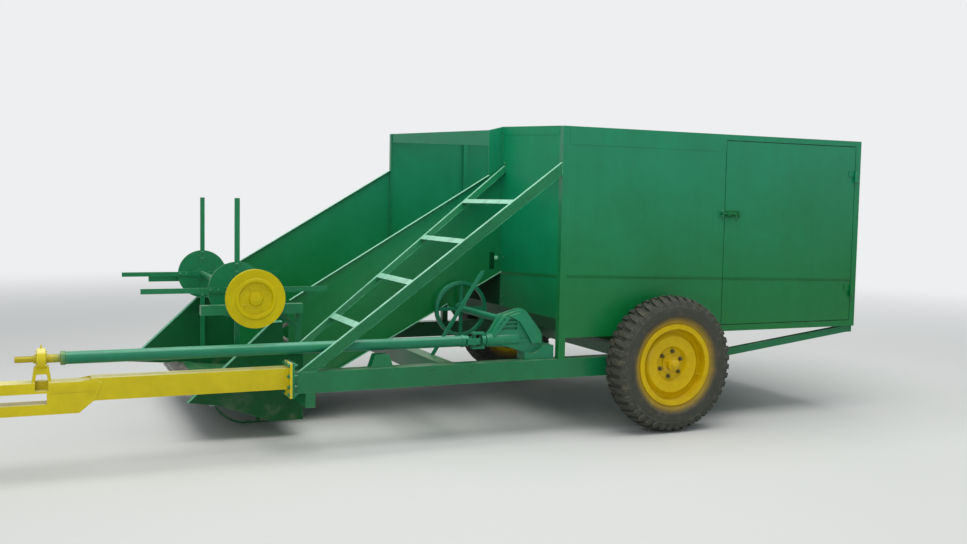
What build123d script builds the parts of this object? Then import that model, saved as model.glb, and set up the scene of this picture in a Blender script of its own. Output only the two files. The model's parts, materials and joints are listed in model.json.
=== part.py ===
from build123d import *
import math
import os

os.makedirs("parts", exist_ok=True)

# Trailed side-offset reaper with a large collecting bin, in millimetres.
# X runs from the hitch to the tailgate, Y from the left side to the right side, Z up.
# The origin lies on the ground, midway along and across the machine.

# Bin
bin_width = 2330.0
bin_front = 523.0
bin_rear = 3137.0
bin_bottom = 660.0
bin_top_left = 2090.0
bin_top_right = 2140.0
sheet = 3.0
tray_depth = 40.0
tray_edge = 4.0
post_size = 50.0
rail_size = 40.0
door_split = 1860.0
door_gap = 6.0
sill_height = 45.0
strip_proud = 2.0
rim_strip = 120.0
front_strip = 60.0
front_panel_bottom = 790.0
apron_foot = 700.0
throat_left = -205.0
throat_cheek = 115.0
throat_top_left = 2110.0
right_wall_front = 88.0
lintel_left_height = 116.0
lintel_right_height = 72.0
stiffener_depth = 30.0
stiffener_width = 40.0
right_ribs = (790.0, 1600.0, 2400.0)

# Hinges
hinge_pin_radius = 7.0
hinge_barrel_radius = 13.0
hinge_length = 90.0
hinge_leaf = 5.0
hinge_inset = 180.0
hinge_split = 0.5
strap_length = 60.0
running_clearance = 0.05

# Chassis
beam_width = 100.0
beam_height = 130.0
beam_bottom = 387.0
beam_wall = 6.0
left_beam_front = -1290.0
right_beam_front = -310.0
beam_rear = 1900.0
cross_width = 100.0
flange_thickness = 14.0
flange_low = 366.0
flange_high = 579.0
flange_width = 160.0
brace_size = 50.0
brace_inset = 25.0
stub_post_x = 1500.0
bracket_x = (-800.0, -650.0)
bracket_height = 85.0
bracket_thickness = 8.0
bracket_inset = 10.0
bracket_slant = 30.0

# Wheels
tyre_diameter = 950.0
tyre_width = 210.0
bead_radius = 254.0
bead_gap = 0.3
rim_lip = 28.0
rim_width = 170.0
rim_edge = 8.0
wheel_x = 1311.0
wheel_outboard = 150.0
spindle_radius = 24.0
hub_radius = 62.0
hub_out = 75.0
axle_size = 84.0

# Drawbar and hitch
drawbar_y = -1075.0
drawbar_width = 120.0
drawbar_height = 127.0
drawbar_bottom = 414.0
drawbar_front = -2430.0
jaw_slot_end = -2660.0
jaw_width = 128.0
jaw_heel_x = -2495.0
cheek_thickness = 4.0
cheek_reach = 60.0
cheek_rear = ((-2411.0, 420.0), (-2373.0, 512.0), (-2424.0, 538.0))
grease_pocket_x = (-2720.0, -2652.0)
grease_pocket_depth = 70.0
grease_pocket_floor = 12.0
jaw_arm = 58.0
jaw_gap = 62.0
jaw_bottom = 350.0
jaw_bevel = 20.0
jaw_pin_set_back = 67.0
jaw_pin_radius = 16.0
jaw_wall = 12.0

# Drive shaft along the left beam
shaft_z = 655.0
shaft_tube_radius = 36.0
journal_radius = 24.0
bearing_x = -2686.0
bearing_length = 42.0
bearing_radius = 60.0
stand_half = 50.0
stand_width = 64.0
stand_taper = 12.0
stand_web = 16.0
stand_window = 44.0
stand_seat = 40.0
stub_front = -2822.0
stub_radius = 17.5
spline_count = 6
spline_depth = 2.7
spline_gap = 9.6
shaft_wall = 5.0
tube_front = -2589.0
tube_rear = -138.0
joint_rear = 12.0
yoke_radius = 48.0
yoke_ear = 14.0
yoke_half = 20.0
input_radius = 20.0

# Gearbox and cross shaft
gearbox_x = 335.0
gearbox_radius = 95.0
gearbox_width = 150.0
gearbox_rim = 25.0
gearbox_y = -1050.0
gearbox_shoulders = ((75.0, 668.0, 28.0), (272.0, 798.0, 55.0))
cross_boss_radius = 48.0
nose_radius = 42.0
nose_root_radius = 60.0
nose_length = 234.0
rib_slots = ((722.0, 98.0), (750.0, 118.0), (778.0, 142.0))
rib_slot_end = 240.0
rib_slot_height = 18.0
rib_slot_depth = 18.0
pedestal_front = 284.0
pedestal_rear = 500.0
cross_shaft_radius = 25.0
cross_shaft_x = 175.0
cross_shaft_z = 778.0
shaft_collar = 20.0
hanger_half = 90.0
hanger_drop = 60.0
sheave_radius = 205.0
sheave_width = 28.0
sheave_rim = 26.0
spoke_width = 26.0
sheave_y = -270.0
spoke_thickness = 10.0

# Ladder
rail_width = 30.0
rail_depth = 68.0
far_rail_depth = 38.0
ladder_foot_x = -1261.0
ladder_slope = 36.7
ladder_far_foot_y = -633.0
ladder_far_top_y = -245.0
rung_width = 46.0
rung_thickness = 10.0
rung_count = 4
rung_pitch = 350.0
first_rung_x = -890.0

# Idler lever
lever_y = -735.0
lever_width = 28.0
lever_thickness = 14.0
lever_length = 684.0
lever_slope = 57.3
lever_share = 0.84

# Header
header_left = -635.0
plate = 4.0
nose_z = 270.0
plate_top = 775.0
right_nose_x = -2060.0
right_shoulder_x = -1524.0
left_plate_shift = 210.0
left_plate_low_top = 560.0
shoulder_length = 74.0
knife_x = -1660.0
knife_z = 250.0
knife_thickness = 3.0
knife_slot = 6.0
bar_thickness = 10.0
pan_lip = 30.0
guard_pitch = 76.2
guard_length = 112.0
guard_sections = ((0, 24, 27), (0.45, 22, 25), (0.85, 11, 14), (1, 4, 5))
guard_slot_share = 0.72
back_strip = 20.0
section_reach = 52.0
section_gap = 4.0
section_tip = 7.0
header_beam_x = -1300.0
header_beam_size = 100.0
header_beam_bottom = 112.0
header_beam_wall = 5.0
back_plate_height = 130.0
arm_x = -1215.0
arm_size = 60.0
arm_height = 90.0
skid_rows = (-100.0, 740.0)
skid_width = 70.0
skid_strap = 12.0

# Elevator
elevator_angle = 28.4
floor_x = -330.0
floor_z = 586.0
elevator_low_x = -1100.0
left_wall_top_low = 865.0
left_wall_angle = 31.1
wall_lip = 26.0
wall_lip_start = -1060.0
right_wall_low_x = -1191.0
right_wall_top_low = 1055.0
right_wall_top_high = 1830.0
chain_radius = 78.0
chain_link = 14.0
chain_width = 26.0
chain_inset = 60.0
slat_rows = 9
slat_height = 34.0
slat_bite = 4.0
slat_thickness = 22.0
slat_clearance = 8.0
slat_margin = 30.0
sprocket_width = 16.0
elevator_shaft_radius = 20.0

# Reel
reel_x = -1498.0
reel_z = 962.0
reel_radius = 605.0
reel_disc_radius = 187.0
reel_disc_thickness = 8.0
reel_rows = (-435.0, 1065.0)
reel_boss_radius = 48.0
reel_boss_length = 40.0
reel_shaft_radius = 22.0
reel_shaft_end = 1135.0
reel_arm_width = 34.0
pulley_radius = 178.0
pulley_width = 36.0
pulley_groove = 14.0
pulley_web = 10.0
pulley_ring = (105.0, 120.0)
pulley_hub = 36.0
pulley_hub_front = 26.0
pulley_y = -1050.0
left_support_y = (-585.0, -573.0)
right_support_y = (1118.0, 1130.0)
support_boss_radius = 44.0
support_boss_length = 52.0
support_top = 1035.0
support_bottom = 820.0
support_reach = 50.0
support_nose_x = (-1900.0, -1660.0, -1600.0)
support_nose_z = (900.0, 965.0)
support_step_x = (-1560.0, -1620.0)
support_leg = 36.0
support_bar_front = -1757.0
support_bar_height = 62.0
support_plinth = 52.0

# Derived places
half = bin_width / 2
jaw_front = -bin_rear
gate_x = bin_rear - 2 * hinge_barrel_radius - 1
gate_frame_top = min(bin_top_left, bin_top_right)
beam_top = beam_bottom + beam_height
wheel_z = tyre_diameter / 2
wheel_y = half + wheel_outboard
left_beam_y = (-half, -half + beam_width)
right_beam_y = (half - beam_width, half)
tray_inner = half - tray_depth
wall_inner = half - plate
front_cross_x = right_beam_front
joint_x = left_beam_front - flange_thickness
header_span = (header_left + plate, half - plate)
header_beam_top = header_beam_bottom + header_beam_size
throat_x = bin_front - throat_cheek
floor_rise = math.tan(math.radians(elevator_angle))
slat_reach = chain_radius + slat_height - slat_bite
chain_height = sheet + (slat_reach + slat_clearance) / math.cos(math.radians(elevator_angle))


def side_plane(y):
    """Upright plane along the machine: its own x is X and its own y is Z."""
    return Plane(origin=(0, y, 0), x_dir=(1, 0, 0), z_dir=(0, -1, 0))


def front_plane(x):
    """Upright plane across the machine: its own x is Y and its own y is Z."""
    return Plane(origin=(x, 0, 0), x_dir=(0, 1, 0), z_dir=(1, 0, 0))


def block(x, y, z, mode=Mode.ADD):
    """Box between three pairs of limits."""
    with Locations(((x[0] + x[1]) / 2, (y[0] + y[1]) / 2, (z[0] + z[1]) / 2)):
        Box(abs(x[1] - x[0]), abs(y[1] - y[0]), abs(z[1] - z[0]), mode=mode)


def side_plate(points, y, mode=Mode.ADD):
    """Plate from an outline in X and Z, between two values of Y."""
    with BuildSketch(side_plane(y[0])) as outline:
        with BuildLine():
            Polyline(*points, close=True)
        make_face()
    extrude(outline.sketch, amount=-(y[1] - y[0]), mode=mode)


def front_plate(points, x, mode=Mode.ADD):
    """Plate from an outline in Y and Z, between two values of X."""
    with BuildSketch(front_plane(x[0])) as outline:
        with BuildLine():
            Polyline(*points, close=True)
        make_face()
    extrude(outline.sketch, amount=x[1] - x[0], mode=mode)


def rod_y(x, z, radius, y, mode=Mode.ADD):
    """Round bar across the machine."""
    with BuildSketch(side_plane(y[0])) as outline:
        with Locations((x, z)):
            Circle(radius)
    extrude(outline.sketch, amount=-(y[1] - y[0]), mode=mode)


def rod_x(y, z, radius, x, mode=Mode.ADD):
    """Round bar along the machine."""
    with BuildSketch(front_plane(x[0])) as outline:
        with Locations((y, z)):
            Circle(radius)
    extrude(outline.sketch, amount=x[1] - x[0], mode=mode)


def rod_z(x, y, radius, z, mode=Mode.ADD):
    """Upright round bar."""
    with BuildSketch(Plane.XY.offset(z[0])) as outline:
        with Locations((x, y)):
            Circle(radius)
    extrude(outline.sketch, amount=z[1] - z[0], mode=mode)


def tray(plane, points, depth):
    """Sheet with a folded edge, made along the plane's normal with the sign of depth."""
    sign = math.copysign(1, depth)
    with BuildSketch(plane) as outline:
        with BuildLine():
            Polyline(*points, close=True)
        make_face()
    extrude(outline.sketch, amount=depth)
    with BuildSketch(plane.offset(sign * sheet)) as recess:
        with BuildLine():
            Polyline(*points, close=True)
        make_face()
        offset(amount=-tray_edge, kind=Kind.INTERSECTION)
    extrude(recess.sketch, amount=depth, mode=Mode.SUBTRACT)


def tube_x(x, y, z, wall):
    """Rectangular tube along the machine."""
    block(x, y, z)
    block((x[0] - 1, x[1] + 1), (y[0] + wall, y[1] - wall), (z[0] + wall, z[1] - wall), Mode.SUBTRACT)


def tube_y(x, y, z, wall):
    """Rectangular tube across the machine."""
    block(x, y, z)
    block((x[0] + wall, x[1] - wall), (y[0] - 1, y[1] + 1), (z[0] + wall, z[1] - wall), Mode.SUBTRACT)


def save(builder, name):
    """Labels a finished piece and writes its file."""
    builder.part.label = name
    export_step(builder.part, f"parts/{name}.step")


def elevator_floor(x):
    """Height of the elevator floor's underside at X."""
    return floor_z + (x - floor_x) * floor_rise


def bin_top(y):
    """Height of the bin's top edge at Y: it rises towards the throat and the right side."""
    share = min(1, max(0, (y + half) / (throat_left + half)))
    return bin_top_left + (bin_top_right - bin_top_left) * share


# Chassis beams
flange_mid = (left_beam_y[0] + left_beam_y[1]) / 2
flange_y = (flange_mid - flange_width / 2, flange_mid + flange_width / 2)
with BuildPart() as left_beam:
    tube_x((left_beam_front, beam_rear), left_beam_y, (beam_bottom, beam_top), beam_wall)
    block((joint_x, left_beam_front), flange_y, (flange_low, flange_high))
    for bracket_y in (left_beam_y[0] + bracket_inset, left_beam_y[1] - bracket_inset - bracket_thickness):
        side_plate([(bracket_x[0], beam_top), (bracket_x[1], beam_top),
                    (bracket_x[1] - bracket_slant, beam_top + bracket_height),
                    (bracket_x[0] + bracket_slant, beam_top + bracket_height)],
                   (bracket_y, bracket_y + bracket_thickness))
save(left_beam, "left_main_beam")

with BuildPart() as right_beam:
    tube_x((right_beam_front, beam_rear), right_beam_y, (beam_bottom, beam_top), beam_wall)
save(right_beam, "right_main_beam")

between_beams = (left_beam_y[1], right_beam_y[0])
with BuildPart() as cross_members:
    for cross_x in (front_cross_x, beam_rear - cross_width):
        tube_y((cross_x, cross_x + cross_width), between_beams, (beam_bottom, beam_top), beam_wall)
save(cross_members, "chassis_cross_members")

# Axle tube between the beams and a spindle outside each beam
spindle_end = wheel_y + hub_out - 12
with BuildPart() as axle:
    tube_y((wheel_x - axle_size / 2, wheel_x + axle_size / 2), between_beams,
           (wheel_z - axle_size / 2, min(beam_top, wheel_z + axle_size / 2)), beam_wall)
    for side in (-1, 1):
        rod_y(wheel_x, wheel_z, hub_radius, sorted((side * half, side * (half + 18))))
        rod_y(wheel_x, wheel_z, spindle_radius, sorted((side * half, side * spindle_end)))
save(axle, "axle")

# Stub posts and rear braces that carry the bin
with BuildPart() as bin_supports:
    for stub_y in (left_beam_y, right_beam_y):
        block((stub_post_x, stub_post_x + post_size), (stub_y[0] + brace_inset, stub_y[1] - brace_inset),
              (beam_top, bin_bottom))
    block((bin_front + post_size, bin_front + 2 * post_size),
          (right_beam_y[0] + brace_inset, right_beam_y[1] - brace_inset), (beam_top, bin_bottom))
    for brace_y in (flange_mid, -flange_mid):
        side_plate([(beam_rear, beam_top - brace_size), (bin_rear - post_size, bin_bottom - brace_size),
                    (bin_rear, bin_bottom - brace_size), (bin_rear, bin_bottom),
                    (bin_rear - post_size, bin_bottom), (beam_rear, beam_top)],
                   (brace_y - brace_size / 2, brace_y + brace_size / 2))
save(bin_supports, "bin_supports")

# Drawbar, hitch jaw and bearing stand
drawbar_span = (drawbar_y - drawbar_width / 2, drawbar_y + drawbar_width / 2)
with BuildPart() as drawbar:
    tube_x((drawbar_front, joint_x - flange_thickness), drawbar_span,
           (drawbar_bottom, drawbar_bottom + drawbar_height), beam_wall)
    block((joint_x - flange_thickness, joint_x), flange_y, (flange_low, flange_high))
save(drawbar, "drawbar")

jaw_top = jaw_bottom + 2 * jaw_arm + jaw_gap
jaw_span = (drawbar_y - jaw_width / 2, drawbar_y + jaw_width / 2)
with BuildPart() as hitch_jaw:
    side_plate([(jaw_front, jaw_bottom + jaw_bevel), (jaw_front + jaw_bevel, jaw_bottom),
                (jaw_heel_x, jaw_bottom), (drawbar_front, drawbar_bottom), (drawbar_front, jaw_top),
                (jaw_front + jaw_bevel, jaw_top), (jaw_front, jaw_top - jaw_bevel)], jaw_span)
    for cheek_y in (jaw_span[0], jaw_span[1] - cheek_thickness):
        side_plate([(jaw_heel_x - cheek_reach, jaw_bottom), (jaw_heel_x, jaw_bottom), *cheek_rear,
                    (drawbar_front - cheek_reach, jaw_top)], (cheek_y, cheek_y + cheek_thickness))
    block((jaw_front - 1, jaw_slot_end), (jaw_span[0] - 1, jaw_span[1] + 1),
          (jaw_bottom + jaw_arm, jaw_bottom + jaw_arm + jaw_gap), Mode.SUBTRACT)
    block((jaw_slot_end + jaw_arm, drawbar_front + 1), (jaw_span[0] + jaw_wall, jaw_span[1] - jaw_wall),
          (drawbar_bottom, jaw_top - jaw_wall), Mode.SUBTRACT)
    block(grease_pocket_x, (jaw_span[0] - 1, jaw_span[0] + grease_pocket_depth),
          (jaw_bottom + jaw_arm + jaw_gap + grease_pocket_floor, jaw_top + 1), Mode.SUBTRACT)
    rod_z(jaw_front + jaw_pin_set_back, drawbar_y, jaw_pin_radius, (jaw_bottom - 1, jaw_top + 1),
          Mode.SUBTRACT)
save(hitch_jaw, "hitch_jaw")

with BuildPart() as bearing_stand:
    side_plate([(bearing_x - stand_half, jaw_top), (bearing_x + stand_half, jaw_top),
                (bearing_x + stand_half - stand_taper, shaft_z - stand_seat),
                (bearing_x - stand_half + stand_taper, shaft_z - stand_seat)],
               (drawbar_y - stand_width / 2, drawbar_y + stand_width / 2))
    side_plate([(bearing_x - stand_half + stand_web, jaw_top - 1),
                (bearing_x + stand_half - stand_web, jaw_top - 1),
                (bearing_x + stand_half - 2 * stand_taper, jaw_top + stand_window),
                (bearing_x - stand_half + 2 * stand_taper, jaw_top + stand_window)],
               (drawbar_y - stand_width, drawbar_y + stand_width), Mode.SUBTRACT)
    rod_x(drawbar_y, shaft_z, bearing_radius,
          (bearing_x - bearing_length / 2, bearing_x + bearing_length / 2))
    rod_x(drawbar_y, shaft_z, journal_radius + running_clearance,
          (bearing_x - stand_half, bearing_x + stand_half), Mode.SUBTRACT)
save(bearing_stand, "shaft_bearing_stand")

# Drive shaft: splined stub, journal and tube, then the universal joint
stub_rear = bearing_x - bearing_length
with BuildPart() as drive_shaft:
    rod_x(drawbar_y, shaft_z, stub_radius, (stub_front, stub_rear))
    with BuildSketch(front_plane(stub_front)):
        with Locations((drawbar_y, shaft_z)):
            with PolarLocations(stub_radius, spline_count):
                Rectangle(2 * spline_depth, spline_gap)
    extrude(amount=stub_rear - 10 - stub_front, mode=Mode.SUBTRACT)
    rod_x(drawbar_y, shaft_z, journal_radius, (stub_rear, tube_front))
    rod_x(drawbar_y, shaft_z, shaft_tube_radius, (tube_front, tube_rear))
    rod_x(drawbar_y, shaft_z, shaft_tube_radius - shaft_wall, (tube_front + journal_radius, tube_rear),
          Mode.SUBTRACT)
save(drive_shaft, "drive_shaft")

joint_centre = (tube_rear + joint_rear) / 2
input_depth = joint_rear + gearbox_rim + input_radius
with BuildPart() as universal_joint:
    rod_x(drawbar_y, shaft_z, shaft_tube_radius, (tube_rear, joint_centre - yoke_radius))
    rod_x(drawbar_y, shaft_z, shaft_tube_radius, (joint_centre + yoke_radius, joint_rear))
    rod_x(drawbar_y, shaft_z, input_radius, (joint_rear, input_depth))
    for side in (-1, 1):
        ear_y = drawbar_y + side * yoke_radius
        ear_z = shaft_z + side * yoke_radius
        block((joint_centre - yoke_radius - yoke_half, joint_centre + yoke_half),
              (ear_y - yoke_ear / 2, ear_y + yoke_ear / 2), (shaft_z - yoke_half, shaft_z + yoke_half))
        block((joint_centre - yoke_half, joint_centre + yoke_radius + yoke_half),
              (drawbar_y - yoke_half, drawbar_y + yoke_half), (ear_z - yoke_ear / 2, ear_z + yoke_ear / 2))
    block((joint_centre - yoke_radius - yoke_half, joint_centre - yoke_radius),
          (drawbar_y - yoke_radius, drawbar_y + yoke_radius), (shaft_z - yoke_half, shaft_z + yoke_half))
    block((joint_centre + yoke_radius, joint_centre + yoke_radius + yoke_half),
          (drawbar_y - yoke_half, drawbar_y + yoke_half), (shaft_z - yoke_radius, shaft_z + yoke_radius))
    rod_y(joint_centre, shaft_z, yoke_ear, (drawbar_y - yoke_radius, drawbar_y + yoke_radius))
    rod_z(joint_centre, drawbar_y, yoke_ear, (shaft_z - yoke_radius, shaft_z + yoke_radius))
save(universal_joint, "universal_joint")

# Gearbox on its pedestal, cross shaft and sheave
gearbox_span = (gearbox_y - gearbox_width / 2, gearbox_y + gearbox_width / 2)
nose_front_x = joint_rear + plate
with BuildSketch(side_plane(gearbox_span[0] + gearbox_rim)) as gearbox_outline:
    for round_x, round_z, round_radius in ((gearbox_x, shaft_z, gearbox_radius), *gearbox_shoulders,
                                           (cross_shaft_x, cross_shaft_z, cross_boss_radius)):
        with Locations((round_x, round_z)):
            Circle(round_radius)
    make_hull()
with BuildPart() as gearbox:
    extrude(gearbox_outline.sketch, amount=-(gearbox_width - 2 * gearbox_rim))
    for slot_low, slot_front in rib_slots:
        block((slot_front, rib_slot_end), (gearbox_span[0], gearbox_span[0] + gearbox_rim + rib_slot_depth),
              (slot_low, slot_low + rib_slot_height), Mode.SUBTRACT)
    rod_y(cross_shaft_x, cross_shaft_z, cross_boss_radius - cheek_thickness, (gearbox_y, gearbox_span[1]))
    with BuildSketch(front_plane(nose_front_x)):
        with Locations((drawbar_y, shaft_z)):
            Circle(nose_radius)
    with BuildSketch(front_plane(nose_front_x + nose_length)):
        with Locations((gearbox_y, shaft_z)):
            Circle(nose_root_radius)
    loft()
    rod_x(drawbar_y, shaft_z, input_radius + running_clearance, (nose_front_x - 1, input_depth + 2),
          Mode.SUBTRACT)
    rod_y(cross_shaft_x, cross_shaft_z, cross_shaft_radius + running_clearance,
          (gearbox_y, gearbox_span[1] + 1),
          Mode.SUBTRACT)
save(gearbox, "gearbox_housing")

with BuildPart() as pedestal:
    side_plate([(pedestal_front, beam_top), (pedestal_rear, beam_top), (pedestal_rear, shaft_z - 45),
                (pedestal_front, shaft_z - 45)], (gearbox_span[0] - 10, gearbox_span[1] - 40))
    extrude(gearbox_outline.sketch, amount=gearbox_width, both=True, mode=Mode.SUBTRACT)
save(pedestal, "gearbox_pedestal")

cross_shaft_end = throat_left + 15
with BuildPart() as cross_shaft:
    rod_y(cross_shaft_x, cross_shaft_z, cross_shaft_radius, (gearbox_y + 1, cross_shaft_end))
    sheave_y_span = (sheave_y - sheave_width / 2, sheave_y + sheave_width / 2)
    rod_y(cross_shaft_x, cross_shaft_z, cross_shaft_radius + shaft_collar, sheave_y_span)
    with BuildSketch(side_plane(sheave_y_span[0])):
        with Locations((cross_shaft_x, cross_shaft_z)):
            Circle(sheave_radius)
            Circle(sheave_radius - sheave_rim, mode=Mode.SUBTRACT)
    extrude(amount=-sheave_width)
    with BuildSketch(side_plane(sheave_y - spoke_thickness / 2)):
        with Locations((cross_shaft_x, cross_shaft_z)):
            with PolarLocations((sheave_radius + cross_shaft_radius) / 2 - 4, 4):
                Rectangle(sheave_radius - cross_shaft_radius - spoke_width, spoke_width)
    extrude(amount=-spoke_thickness)
save(cross_shaft, "cross_shaft")

# Wheels: rim with hub and dished disc, then tyre
for side_name, side in (("left", -1), ("right", 1)):
    wheel_mid = side * wheel_y
    wheel_plane = Plane(origin=(wheel_x, wheel_mid, wheel_z), x_dir=(1, 0, 0), z_dir=(0, 0, 1))
    wheel_axis = Axis((wheel_x, wheel_mid, wheel_z), (0, 1, 0))

    with BuildPart() as rim:
        with BuildSketch(wheel_plane):
            with BuildLine():
                Polyline((bead_radius - 6, -rim_width / 2), (bead_radius + rim_lip, -rim_width / 2),
                         (bead_radius + rim_lip, -rim_width / 2 + rim_edge),
                         (bead_radius, -rim_width / 2 + rim_edge),
                         (bead_radius, rim_width / 2 - rim_edge),
                         (bead_radius + rim_lip, rim_width / 2 - rim_edge),
                         (bead_radius + rim_lip, rim_width / 2), (bead_radius - 6, rim_width / 2),
                         close=True)
            make_face()
        revolve(axis=wheel_axis)
        with BuildSketch(wheel_plane):
            with BuildLine():
                Polyline((hub_radius - 10, side * 20), (hub_radius + 45, side * 20),
                         (hub_radius + 62, side * 46),
                         (bead_radius - 60, side * 54), (bead_radius - 34, side * 30),
                         (bead_radius, side * 24),
                         (bead_radius, side * 16), (bead_radius - 38, side * 22),
                         (bead_radius - 64, side * 46),
                         (hub_radius + 68, side * 38), (hub_radius + 50, side * 12),
                         (hub_radius - 10, side * 12),
                         close=True)
            make_face()
        revolve(axis=wheel_axis)
        rod_y(wheel_x, wheel_z, hub_radius, sorted((side * (half + 24), side * (wheel_y + 24))))
        rod_y(wheel_x, wheel_z, hub_radius - 18,
              sorted((side * (wheel_y + 24), side * (wheel_y + hub_out))))
        rod_y(wheel_x, wheel_z, spindle_radius + running_clearance,
              sorted((side * (half + 20), side * (wheel_y + hub_out - 8))), Mode.SUBTRACT)
    save(rim, f"{side_name}_wheel_rim")

    with BuildPart() as tyre:
        with BuildSketch(wheel_plane):
            with BuildLine():
                bead = (bead_radius + bead_gap, rim_width / 2 - 12)
                wall_low = (bead_radius + rim_lip + 6, rim_width / 2 - 9)
                wall_mid = (tyre_diameter / 2 - 105, tyre_width / 2)
                shoulder = (tyre_diameter / 2 - 22, tyre_width / 2 - 14)
                crown = (tyre_diameter / 2, 0)
                Line(bead, wall_low)
                ThreePointArc(wall_low, wall_mid, shoulder)
                ThreePointArc(shoulder, crown, (shoulder[0], -shoulder[1]))
                ThreePointArc((shoulder[0], -shoulder[1]), (wall_mid[0], -wall_mid[1]),
                              (wall_low[0], -wall_low[1]))
                Line((wall_low[0], -wall_low[1]), (bead[0], -bead[1]))
                Line((bead[0], -bead[1]), bead)
            make_face()
        revolve(axis=wheel_axis)
    save(tyre, f"{side_name}_tyre")

# Bin: doors' openings
door_x = (door_split + door_gap, bin_rear - post_size - door_gap)
door_z = (bin_bottom + sill_height + door_gap, bin_top_left - rail_size - door_gap)
gate_z = (door_z[0], gate_frame_top - rail_size - door_gap)
gate_y = (-half + post_size + door_gap, half - post_size - door_gap)
knuckle = hinge_length / 2
door_hinge_x = bin_rear - post_size - door_gap / 2
door_hinge_y = -half - hinge_barrel_radius - 1
door_hinge_heights = (door_z[0] + hinge_inset, door_z[1] - hinge_inset - hinge_length)
gate_hinge_x = gate_x + hinge_barrel_radius + 1
gate_hinge_z = gate_z[1] + door_gap / 2
gate_hinge_rows = (gate_y[0] + hinge_inset, gate_y[1] - hinge_inset - hinge_length)

# Bin: posts with the side door's hinge pins
with BuildPart() as bin_posts:
    block((bin_front, bin_front + post_size), (-half, -half + post_size), (beam_top, bin_top_left))
    for post_y in ((-half, -half + post_size), (half - post_size, half)):
        block((bin_rear - post_size, bin_rear), post_y, (bin_bottom, bin_top(post_y[0])))
    for low in door_hinge_heights:
        rod_z(door_hinge_x, door_hinge_y, hinge_barrel_radius, (low, low + knuckle))
        rod_z(door_hinge_x, door_hinge_y, hinge_pin_radius, (low, low + hinge_length))
        block((door_hinge_x + hinge_leaf, bin_rear - hinge_leaf), (-half - hinge_leaf, -half),
              (low, low + knuckle))
        block((door_hinge_x, door_hinge_x + 2 * hinge_leaf),
              (door_hinge_y - hinge_leaf, -half - hinge_leaf / 2),
              (low, low + knuckle))
save(bin_posts, "bin_posts")

# Bin: rails with the tailgate's hinge pins
with BuildPart() as bin_rails:
    block((door_split, bin_rear - post_size), (-half, -tray_inner),
          (bin_top_left - rail_size, bin_top_left))
    block((door_split, bin_rear - post_size), (-half, -tray_inner), (bin_bottom, bin_bottom + sill_height))
    block((gate_x - rail_size, gate_x), (-half + post_size, half - post_size),
          (bin_bottom, bin_bottom + sill_height))
    front_plate([(-half + post_size, gate_frame_top - rail_size),
                 (half - post_size, gate_frame_top - rail_size),
                 (half - post_size, bin_top_right), (-half + post_size, bin_top_left)],
                (gate_x - rail_size, gate_x))
    for low in gate_hinge_rows:
        rod_y(gate_hinge_x, gate_hinge_z, hinge_barrel_radius, (low, low + knuckle))
        rod_y(gate_hinge_x, gate_hinge_z, hinge_pin_radius, (low, low + hinge_length))
        block((gate_x, gate_x + hinge_leaf), (low, low + knuckle),
              (gate_hinge_z + hinge_leaf, gate_frame_top - hinge_leaf))
        block((gate_x + hinge_leaf / 2, gate_hinge_x + hinge_leaf), (low, low + knuckle),
              (gate_hinge_z, gate_hinge_z + 2 * hinge_leaf))
save(bin_rails, "bin_rails")

# Bin: fixed panels
with BuildPart() as left_panel:
    tray(side_plane(-half),
         [(bin_front + post_size, bin_bottom), (door_split, bin_bottom), (door_split, bin_top_left),
                             (bin_front + post_size, bin_top_left)], -tray_depth)
    middle = (bin_front + post_size + door_split) / 2
    block((middle - stiffener_width / 2, middle + stiffener_width / 2),
          (-half + sheet, -half + stiffener_depth),
          (bin_bottom, bin_top_left))
    block((bin_front + post_size, door_split), (-half - strip_proud, -half),
          (bin_top_left - rim_strip, bin_top_left))
save(left_panel, "bin_left_panel")

front_low = bin_top(-half + post_size)
with BuildPart() as front_panel:
    tray(front_plane(bin_front),
         [(-half + post_size, front_panel_bottom), (throat_left, front_panel_bottom),
                                  (throat_left, bin_top_right), (-half + post_size, front_low)], tray_depth)
    front_plate([(-half + post_size, front_low - front_strip), (throat_left, bin_top_right - front_strip),
                 (throat_left, bin_top_right), (-half + post_size, front_low)],
                (bin_front - strip_proud, bin_front))
save(front_panel, "bin_front_panel")

with BuildPart() as right_wall:
    tray(side_plane(half), [(right_wall_front, elevator_floor(right_wall_front)),
                            (bin_front, elevator_floor(bin_front)), (bin_front, bin_bottom),
                            (bin_rear - post_size, bin_bottom),
                            (bin_rear - post_size, bin_top_right), (right_wall_front, bin_top_right)],
         tray_depth)
    for rib_x in right_ribs:
        block((rib_x - stiffener_width / 2, rib_x + stiffener_width / 2),
              (half - stiffener_depth, half - sheet),
              (bin_bottom, bin_top_right))
save(right_wall, "bin_right_wall")

with BuildPart() as bin_floor:
    side_plate([(bin_front, front_panel_bottom - sheet), (apron_foot, bin_bottom),
                (gate_x - rail_size, bin_bottom),
                (gate_x - rail_size, bin_bottom + sheet), (apron_foot + sheet, bin_bottom + sheet),
                (bin_front, front_panel_bottom)], (-tray_inner, tray_inner))
    for post_y in ((-half, -half + post_size), (half - post_size, half)):
        for post_x in (bin_front, bin_rear - post_size):
            block((post_x, post_x + post_size), post_y, (bin_bottom - 1, front_panel_bottom + 1),
                  Mode.SUBTRACT)
save(bin_floor, "bin_floor")

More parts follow.
